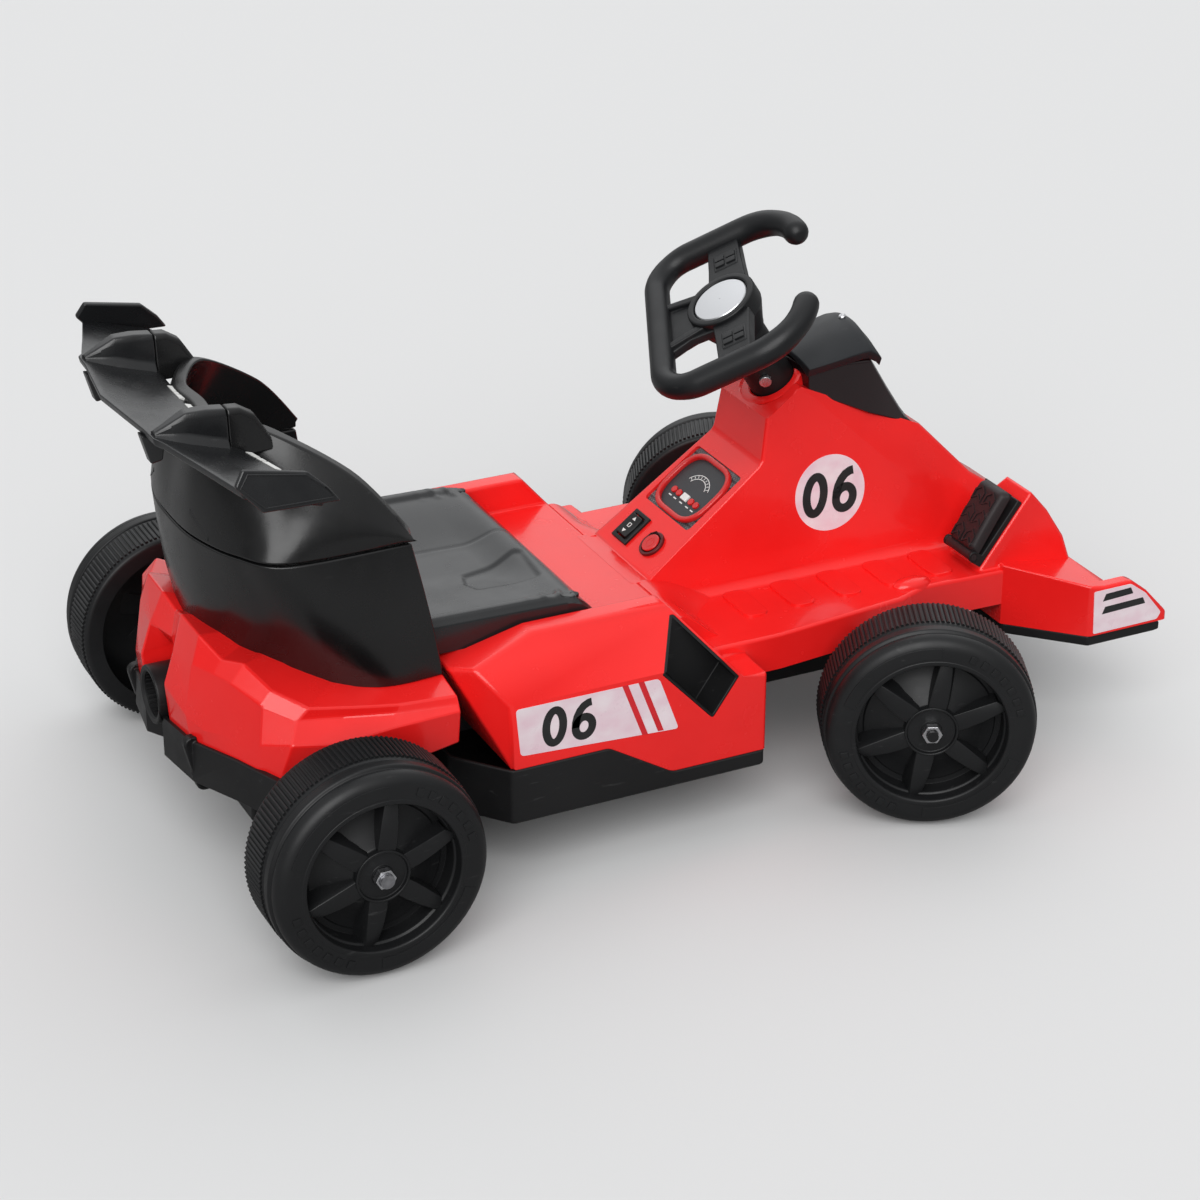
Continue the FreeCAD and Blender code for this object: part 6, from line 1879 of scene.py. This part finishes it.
@dataclass
class Outlet:
    """Round outlet at the rear with a ribbed bore."""

    rear: float = -98.0
    level: float = 148.0
    radius: float = 26.0
    bore: float = 20.0
    length: float = 38.0
    depth: float = 26.0
    rib_count: int = 30
    rib_radius: float = 1.1

    def build(self) -> None:
        """Build and dress the outlet."""
        profile = [(0.4, self.depth), (self.bore, self.depth), (self.bore, 2.4), (21.4, 0.6), (24.4, 0.0),
                   (25.5, 0.5), (self.radius, 2.0), (self.radius, self.length), (0.4, self.length)]
        ribs = grown(ring_tree("outlet_ribs"), {
            "Count": self.rib_count, "Ring Radius": self.bore * MM, "Bar Radius": self.rib_radius * MM,
            "Bar Length": (self.depth - 4.0) * MM, "Start": (self.depth / 2 + 1.5) * MM,
            "Material": BLACK.material()})
        place = Matrix.Translation(at(self.rear, 0, self.level)) @ Matrix.Rotation(-math.pi / 2, 4, "Z")
        pipe = gathered(lathe(profile, 72), ribs)
        make_piece("exhaust_outlet_moulding", moved(pipe, place), BLACK, "chassis",
                   ("exhaust_outlet",))


# Films


@dataclass
class Livery:
    """Printed films: number panels on the pods, roundels on the console, plates on the front wing."""

    pod_half: float = 196.0
    console_foot: float = 58.0
    console_lean: float = 16.0 / 178.0
    console_spot: Point = (533.0, 233.0)
    console_rise: float = 73.0
    plate_half: float = 190.0
    film: float = 0.3
    ink: float = 0.5
    root: float = -0.6
    pod_panel: Outline = ((154, 168.5), (158, 124), (306, 115.5), (287, 167.5))
    pod_corner: float = 4.0
    wing_panel: Outline = ((732, 151), (772, 151), (789, 138.5), (808, 115), (804, 108.5), (734, 108))
    wing_corner: float = 2.0
    roundel: float = 36.0
    roundel_root: float = -1.0
    pod_number: tuple[Point, float, float] = ((203.0, 145.0), 38.0, 0.05)
    console_number: tuple[Point, float, float] = ((0.0, 0.0), 43.0, 0.1)
    wing_bars: tuple[Outline, ...] = (
        ((745, 146.5), (772, 147.5), (775, 141.0), (742, 139.5)),
        ((745, 133.5), (786.3, 134.5), (789.3, 128.0), (742, 126.5)))
    stripe: Outline = ((0.0, 168.4), (5.5, 168.2), (24.5, 117.2), (19.0, 117.6))
    stripe_starts: Span = (252.0, 267.0)

    def side(self, sign: int, half: float) -> Sheet:
        """Give an upright side of the kart, read from outside."""
        return Sheet(at(0, sign * half, 0), Vector((-sign, 0, 0)), Vector((0, 0, 1)))

    def console(self, sign: int) -> Sheet:
        """Give one side of the console with its origin in the roundel's middle.

        Args:
            sign: -1 right, 1 left.

        Returns:
            The side.
        """
        up = Vector((0, -sign * self.console_lean, 1)).normalized()
        middle = self.console_foot - self.console_lean * self.console_rise
        ahead, level = self.console_spot
        return Sheet(at(ahead, sign * middle, level), Vector((-sign, 0, 0)), up)

    def drawn(self, sign: int, half: float, outline: Sequence[Point], top: float) -> Mesh:
        """Lay a film on a side of the kart.

        Args:
            sign: -1 right, 1 left.
            half: How far the side is from the middle.
            outline: Places ahead of the rear axle and above the ground.
            top: How far the film stands out.

        Returns:
            The film.
        """
        return self.side(sign, half).plate([(-sign * x, z) for x, z in outline], self.root, top)

    def white(self) -> Mesh:
        """Gather the white films."""
        parts = []
        for _, sign in SIDES:
            pod = rounded(self.pod_panel, self.pod_corner)
            parts.append(self.drawn(sign, self.pod_half, pod, self.film))
            ring = oval((0, 0), self.roundel, self.roundel, 64)
            parts.append(self.console(sign).plate(ring, self.roundel_root, self.film))
            plate = rounded(self.wing_panel, self.wing_corner)
            parts.append(self.drawn(sign, self.plate_half, plate, self.film))
        return gathered(*parts)

    def black(self) -> Mesh:
        """Gather the black films."""
        parts = []
        for _, sign in SIDES:
            (ahead, level), size, slant = self.pod_number
            pod = self.side(sign, self.pod_half)
            parts.append(pod.race_number((-sign * ahead, level), size, slant, 0.0, self.ink))
            parts.append(self.console(sign).race_number(*self.console_number, 0.0, self.ink))
            parts += [self.drawn(sign, self.plate_half, bar, self.ink) for bar in self.wing_bars]
        return gathered(*parts)

    def red(self) -> Mesh:
        """Gather the red stripes across the pods' panels."""
        parts = []
        for _, sign in SIDES:
            for start in self.stripe_starts:
                stripe = [(start + x, z) for x, z in self.stripe]
                parts.append(self.drawn(sign, self.pod_half, stripe, self.ink))
        return gathered(*parts)

    def build(self) -> None:
        """Lay all films."""
        # The white films take the finish whose pink tint is painted reflection of the red body.
        make_piece("white_films", self.white(), PAPER_PAINTED_PINK_REFLECTION, "chassis")
        make_piece("black_films", self.black(), INK, "chassis")
        make_piece("red_films", self.red(), SCARLET, "chassis")


# Dash and pedal


@dataclass
class Dash:
    """Dash slope: panel film, red ring, buttons, switch and power button with their printed marks."""

    foot: Place = (349.7, 0.0, 186.2)
    slope: Place = (0.79706, 0.0, 0.60390)
    switch_row: float = 24.5
    switch_aside: float = 20.5
    arrow: Outline = ((-2.6, 5.6), (2.6, 5.6), (0.0, 9.2))
    arrow_levels: Span = (4.0, 5.35)
    square: Outline = ((-1.9, -1.9), (1.9, -1.9), (1.9, 1.9), (-1.9, 1.9))
    square_line: Band = (0.9, 3.8, 4.75)
    ring_middle: float = 88.0
    ring_half: Point = (37.0, 30.2)
    ring_corner: float = 25.0
    ring_line: Band = (5.2, -3.3, 1.8)
    face_inset: float = 2.0
    face_levels: Span = (-3.5, -2.8)
    bar_levels: Span = (-3.2, -2.6)
    bars: tuple[float, ...] = (-20.5, -11.5, 0.0, 11.5, 20.5)
    bar: Outline = ((-2.4, 70.2), (2.4, 70.2), (2.4, 71.4), (-2.4, 71.4))
    dial_stretch: float = 1.25
    dial_arcs: Span = (15.0, 11.0)
    dial_sweep: Span = (20.0, 160.0)
    dial_line: Band = (0.7, -3.2, -2.6)
    tick_reach: Span = (12.0, 14.2)
    tick_sweep: Span = (28.0, 152.0)
    tick_line: Band = (0.6, -3.2, -2.6)
    power_radius: float = 4.2
    power_sweep: Span = (32.0, 328.0)
    power_bar: Outline = ((-0.6, 1.0), (0.6, 1.0), (0.6, 5.4), (-0.6, 5.4))
    power_line: float = 1.2
    power_levels: Span = (1.5, 4.75)

    def outline(self, inset: float) -> list[Point]:
        """Draw the ring's line, a distance inside it."""
        wide, high = self.ring_half[0] - inset, self.ring_half[1] - inset
        low, top = self.ring_middle - high, self.ring_middle + high
        return rounded([(-wide, low), (wide, low), (wide, top), (-wide, top)], self.ring_corner - inset, 8)

    def sheet(self) -> Sheet:
        """Give the dash slope, read from the seat."""
        return Sheet(at(*self.foot), Vector((0, -1, 0)), Vector(self.slope))

    def rocker_marks(self) -> Mesh:
        """Draw plain arrows and a square on the switch."""
        sheet = self.sheet()
        across, up = -self.switch_aside, self.switch_row
        square = [(across + u, up + v) for u, v in self.square]
        parts = [sheet.stroke(square, *self.square_line, True)]
        for sign in (-1, 1):
            arrow = [(across + u, up + sign * v) for u, v in self.arrow]
            parts.append(sheet.plate(arrow, *self.arrow_levels))
        return gathered(*parts)

    def dial_spot(self, radius: float, turn: float) -> Point:
        """Give a place on the dial, which is wider than high."""
        return radius * self.dial_stretch * math.cos(turn), self.ring_middle + radius * math.sin(turn)

    def panel_marks(self) -> Mesh:
        """Draw plain bars and a dial's arcs on the panel."""
        sheet = self.sheet()
        parts = [sheet.plate([(start + u, v) for u, v in self.bar], *self.bar_levels) for start in self.bars]
        for radius in self.dial_arcs:
            arc = [self.dial_spot(radius, turn) for turn in spread(*map(math.radians, self.dial_sweep), 24)]
            parts.append(sheet.stroke(arc, *self.dial_line))
        for turn in spread(*map(math.radians, self.tick_sweep), 8):
            ends = [self.dial_spot(reach, turn) for reach in self.tick_reach]
            parts.append(sheet.stroke(ends, *self.tick_line))
        return gathered(*parts)

    def power_mark(self) -> Mesh:
        """Draw a ring with a bar on the power button."""
        sheet = self.sheet()
        across, up = self.switch_aside, self.switch_row
        arc = [(across + self.power_radius * math.sin(turn), up + self.power_radius * math.cos(turn))
               for turn in spread(*map(math.radians, self.power_sweep), 26)]
        bar = [(across + u, up + v) for u, v in self.power_bar]
        return gathered(sheet.stroke(arc, self.power_line, *self.power_levels),
                        sheet.plate(bar, *self.power_levels))

    def build(self) -> None:
        """Dress the dash."""
        for node, finish, width in DASH_FINISHES:
            refine(node, finish, width)
        make_piece("rocker_marks", self.rocker_marks(), BUTTON_WHITE, "rocker")
        ring = self.sheet().stroke(self.outline(0.0), *self.ring_line, True)
        make_piece("instrument_ring_moulding", ring, BUTTON_RED, "chassis",
                   ("instrument_ring",), Rounding(1.6, 3))
        face = self.sheet().plate(self.outline(self.face_inset), *self.face_levels)
        make_piece("instrument_face", face, PANEL, "chassis")
        make_piece("panel_marks", self.panel_marks(), BUTTON_WHITE, "chassis")
        make_piece("power_mark", self.power_mark(), BUTTON_RED, "power_button")


@dataclass
class Pedal:
    """Accelerator pedal: a cushioned pad on a hinge, with rows of raised chevrons on its tread."""

    slope: Place = (0.5963, 0.0, 0.8027)
    out: Place = (-0.8027, 0.0, 0.5963)
    sight: float = 60.0
    half: float = 20.5
    top: float = 33.6
    foot: float = -30.0
    thick: float = 9.0
    edge: float = 7.0
    bulge: float = 1.2
    hinge: Point = (-31.6, -2.5)
    barrel: Outline = ((0.4, -19.0), (4.5, -19.0), (4.5, 19.0), (0.4, 19.0))
    pin: Outline = ((0.4, -22.4), (3.0, -22.4), (3.0, 22.4), (0.4, 22.4))
    rows: int = 3
    step: float = 19.0
    chevron: Outline = ((-6.4, -25.0), (0.0, -20.0), (6.4, -25.0), (6.4, -16.0), (0.0, -11.0),
                        (-6.4, -16.0))
    chevron_aside: float = 8.6
    chevron_line: Band = (2.2, -0.6, 1.9)

    def middle(self) -> Vector:
        """Give the middle of the pedal's solid."""
        return sum((Vector(corner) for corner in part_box("accelerator_pedal")), Vector()) / 2

    def sheet(self) -> Sheet:
        """Find the flat tread of the pedal's solid."""
        out = Vector(self.out)
        start = self.middle() + out * self.sight * MM
        return face_sheet("accelerator_pedal", start, -out, Vector(self.slope))

    def face(self, x: float, y: float) -> float:
        """Give the level of the cushioned face, which falls off round its edges.

        Args:
            x: Millimetres ahead of the rear axle, for a pad that lies flat at the frame's origin.
            y: Millimetres to the left of the pad's middle.

        Returns:
            The level.
        """
        up = x + REAR_AXLE
        aside = max(0.0, self.edge - (self.half - abs(y)))
        ends = max(0.0, self.edge - min(self.top - up, up - self.foot))
        near = min(self.edge, math.hypot(aside, ends))
        return self.bulge * (1 - (up / self.top) ** 2) - self.edge + math.sqrt(self.edge ** 2 - near ** 2)

    def pad(self) -> Mesh:
        """Gather the cushioned pad, its hinge and the hinge's pin."""
        sheet = self.sheet()
        xs = [up - REAR_AXLE for up in spread(self.foot, self.top, 54)]
        cushion = hill(xs, spread(-self.half, self.half, 36), self.face, -self.thick)
        place = Matrix((sheet.up, Vector((0, 1, 0)), sheet.out)).transposed().to_4x4()
        place.translation = sheet.origin
        along, off = self.hinge
        pivot = Matrix.Translation(self.middle() + (Vector(self.slope) * along + Vector(self.out) * off) * MM)
        barrel, pin = lathe(self.barrel, 32), lathe(self.pin, 24)
        return gathered(moved(cushion, place), moved(barrel, pivot), moved(pin, pivot))

    def treads(self) -> Mesh:
        """Repeat a row of two chevrons up the tread."""
        sheet = self.sheet()
        parts = []
        for aside in (-self.chevron_aside, self.chevron_aside):
            parts.append(sheet.stroke([(aside + u, v) for u, v in self.chevron], *self.chevron_line, True))
        return grown(copies_tree("pedal_treads"), {
            "Count": self.rows, "Step": tuple(sheet.up * self.step * MM), "Material": TREAD.material()},
            gathered(*parts))

    def build(self) -> None:
        """Build and dress pedal and base."""
        make_piece("accelerator_pedal_moulding", gathered(self.pad(), self.treads()), TREAD,
                   "pedal", ("accelerator_pedal",), shading=50.0)
        refine("pedal_base", BLACK, 1.2)


# Pieces that keep the form of their solids


DASH_FINISHES: tuple[tuple[str, Finish, float], ...] = (
    ("instrument_panel", HATCH, 0.5), ("rocker_bezel", BLACK, 0.8),
    ("rocker_switch", BLACK, 0.8), ("power_bezel", RING_RED, 0.8), ("power_button", BUTTON_RED, 0.9),
    ("dash_button_far_left", BUTTON_RED, 0.6), ("dash_button_left", BUTTON_RED, 0.6),
    ("dash_button_middle", BUTTON_WHITE, 0.6), ("dash_button_right", BUTTON_RED, 0.6),
    ("dash_button_far_right", BUTTON_RED, 0.6),
)
SOFTENED: tuple[tuple[str, Finish, float], ...] = (
    ("chassis_pan", BLACK, 4.0), ("front_undertray", BLACK, 2.5), ("rear_bumper", BLACK, 2.0),
    ("duct_insert_left", BLACK, 1.0), ("duct_insert_right", BLACK, 1.0), ("front_axle_nut_left", ZINC, 0.5),
    ("front_axle_nut_right", ZINC, 0.5), ("rear_axle_nuts", ZINC, 0.5), ("gearbox_left", CASE, 2.0),
    ("gearbox_right", CASE, 2.0),
)
PAINTED: tuple[tuple[str, Finish], ...] = (
    ("rear_axle", STEEL), ("kingpins", ZINC), ("tie_rod", STEEL), ("column_bracket", BLACK),
    ("battery", CASE), ("control_box", CASE), ("motor_left", STEEL), ("motor_right", STEEL),
    ("drive_gear_left", NYLON), ("drive_gear_right", NYLON), ("front_axle_beam", BLACK),
    ("knuckle_left", BLACK), ("knuckle_right", BLACK),
)


# Studio


@dataclass
class Studio:
    """Pale floor, soft light and the camera at the photograph's angle."""

    floor_half: float = 14.0
    floor_colour: Colour = (0.70, 0.70, 0.70)
    floor_bounce: Colour = (0.30, 0.30, 0.30)
    floor_roughness: float = 0.9
    floor_shine: float = 0.1
    sky_colour: Colour = (0.98, 0.99, 1.0)
    sky_strengths: Span = (0.14, 0.82)
    sky_span: Span = (0.0, 0.9)
    back_light: Place = (0.36, 0.74, 0.57)
    back_strengths: Span = (0.0, 0.7)
    back_span: Span = (0.72, 0.96)
    key_from: Place = (-0.45, -0.72, 0.62)
    key_strength: float = 2.0
    key_width: float = 50.0
    camera_place: Place = (-1.08776, -2.18590, 1.33831)
    azimuth: float = -25.957
    elevation: float = 26.12
    lens: float = 89.89
    sensor: float = 36.0

    def floor(self) -> None:
        """Lay the floor, which rides on none of the kart's bodies."""
        mesh = bmesh.new()
        corners = [(-1, -1), (1, -1), (1, 1), (-1, 1)]
        mesh.faces.new([mesh.verts.new((x * self.floor_half, y * self.floor_half, 0)) for x, y in corners])
        data = bpy.data.meshes.new("floor")
        mesh.to_mesh(data)
        mesh.free()
        obj = bpy.data.objects.new("floor", data)
        bpy.context.scene.collection.objects.link(obj)
        material, tree, shader = fresh_material("studio_floor")
        path = tree.nodes.new("ShaderNodeLightPath")
        tone = two_tone(tree, path.outputs["Is Camera Ray"], self.floor_bounce, self.floor_colour)
        tree.links.new(tone, shader.inputs["Base Color"])
        shader.inputs["Roughness"].default_value = self.floor_roughness
        shader.inputs["Specular IOR Level"].default_value = self.floor_shine
        data.materials.append(material)

    def sky(self) -> None:
        """Light the room softly, mostly from above and from behind the kart."""
        world = bpy.data.worlds.new("studio")
        bpy.context.scene.world = world
        world.use_nodes = True
        tree = world.node_tree
        tree.nodes.clear()
        place = tree.nodes.new("ShaderNodeTexCoord")
        split = tree.nodes.new("ShaderNodeSeparateXYZ")
        tree.links.new(place.outputs["Generated"], split.inputs["Vector"])
        facing = tree.nodes.new("ShaderNodeVectorMath")
        facing.operation = "DOT_PRODUCT"
        facing.inputs[1].default_value = self.back_light
        tree.links.new(place.outputs["Generated"], facing.inputs[0])
        total = tree.nodes.new("ShaderNodeMath")
        above = mapped(tree, split.outputs["Z"], *self.sky_strengths, *self.sky_span)
        behind = mapped(tree, facing.outputs["Value"], *self.back_strengths, *self.back_span)
        tree.links.new(above, total.inputs[0])
        tree.links.new(behind, total.inputs[1])
        light = tree.nodes.new("ShaderNodeBackground")
        light.inputs["Color"].default_value = (*self.sky_colour, 1.0)
        tree.links.new(total.outputs["Value"], light.inputs["Strength"])
        out = tree.nodes.new("ShaderNodeOutputWorld")
        tree.links.new(light.outputs["Background"], out.inputs["Surface"])

    def lamp(self) -> None:
        """Shine a broad soft light from beside the camera."""
        data = bpy.data.lights.new("key", "SUN")
        data.energy = self.key_strength
        data.angle = math.radians(self.key_width)
        obj = bpy.data.objects.new("key", data)
        obj.rotation_mode = "QUATERNION"
        obj.rotation_quaternion = (-Vector(self.key_from)).to_track_quat("-Z", "Y")
        bpy.context.scene.collection.objects.link(obj)

    def camera(self) -> None:
        """Set the camera at the photograph's place."""
        data = bpy.data.cameras.new("camera")
        data.lens = self.lens
        data.sensor_width = self.sensor
        obj = bpy.data.objects.new("camera", data)
        a, e = math.radians(self.azimuth), math.radians(self.elevation)
        back = Vector((math.sin(a) * math.cos(e), -math.cos(a) * math.cos(e), math.sin(e)))
        obj.location = self.camera_place
        obj.rotation_mode = "QUATERNION"
        obj.rotation_quaternion = (-back).to_track_quat("-Z", "Y")
        bpy.context.scene.collection.objects.link(obj)
        bpy.context.scene.camera = obj

    def build(self) -> None:
        """Set up floor, light and camera."""
        self.floor()
        self.sky()
        self.lamp()
        self.camera()
        bpy.context.scene.view_settings.view_transform = "Standard"


def main() -> None:
    """Build the kart piece by piece."""
    logging.basicConfig(level=logging.INFO, format="%(name)s %(message)s")
    Studio().build()
    for end in ("rear", "front"):
        for side, sign in SIDES:
            Wheel(end, side, sign).build()
    for assembly in (Steering(), Body(), Seat(), SeatBack(), RearWing(), Fairing(), Hood(), Outlet(),
                     Dash(), Pedal(), Livery()):
        assembly.build()
    for node, finish, width in SOFTENED:
        refine(node, finish, width)
    for node, finish in PAINTED:
        paint(node, finish)


if __name__ == "__main__":
    main()
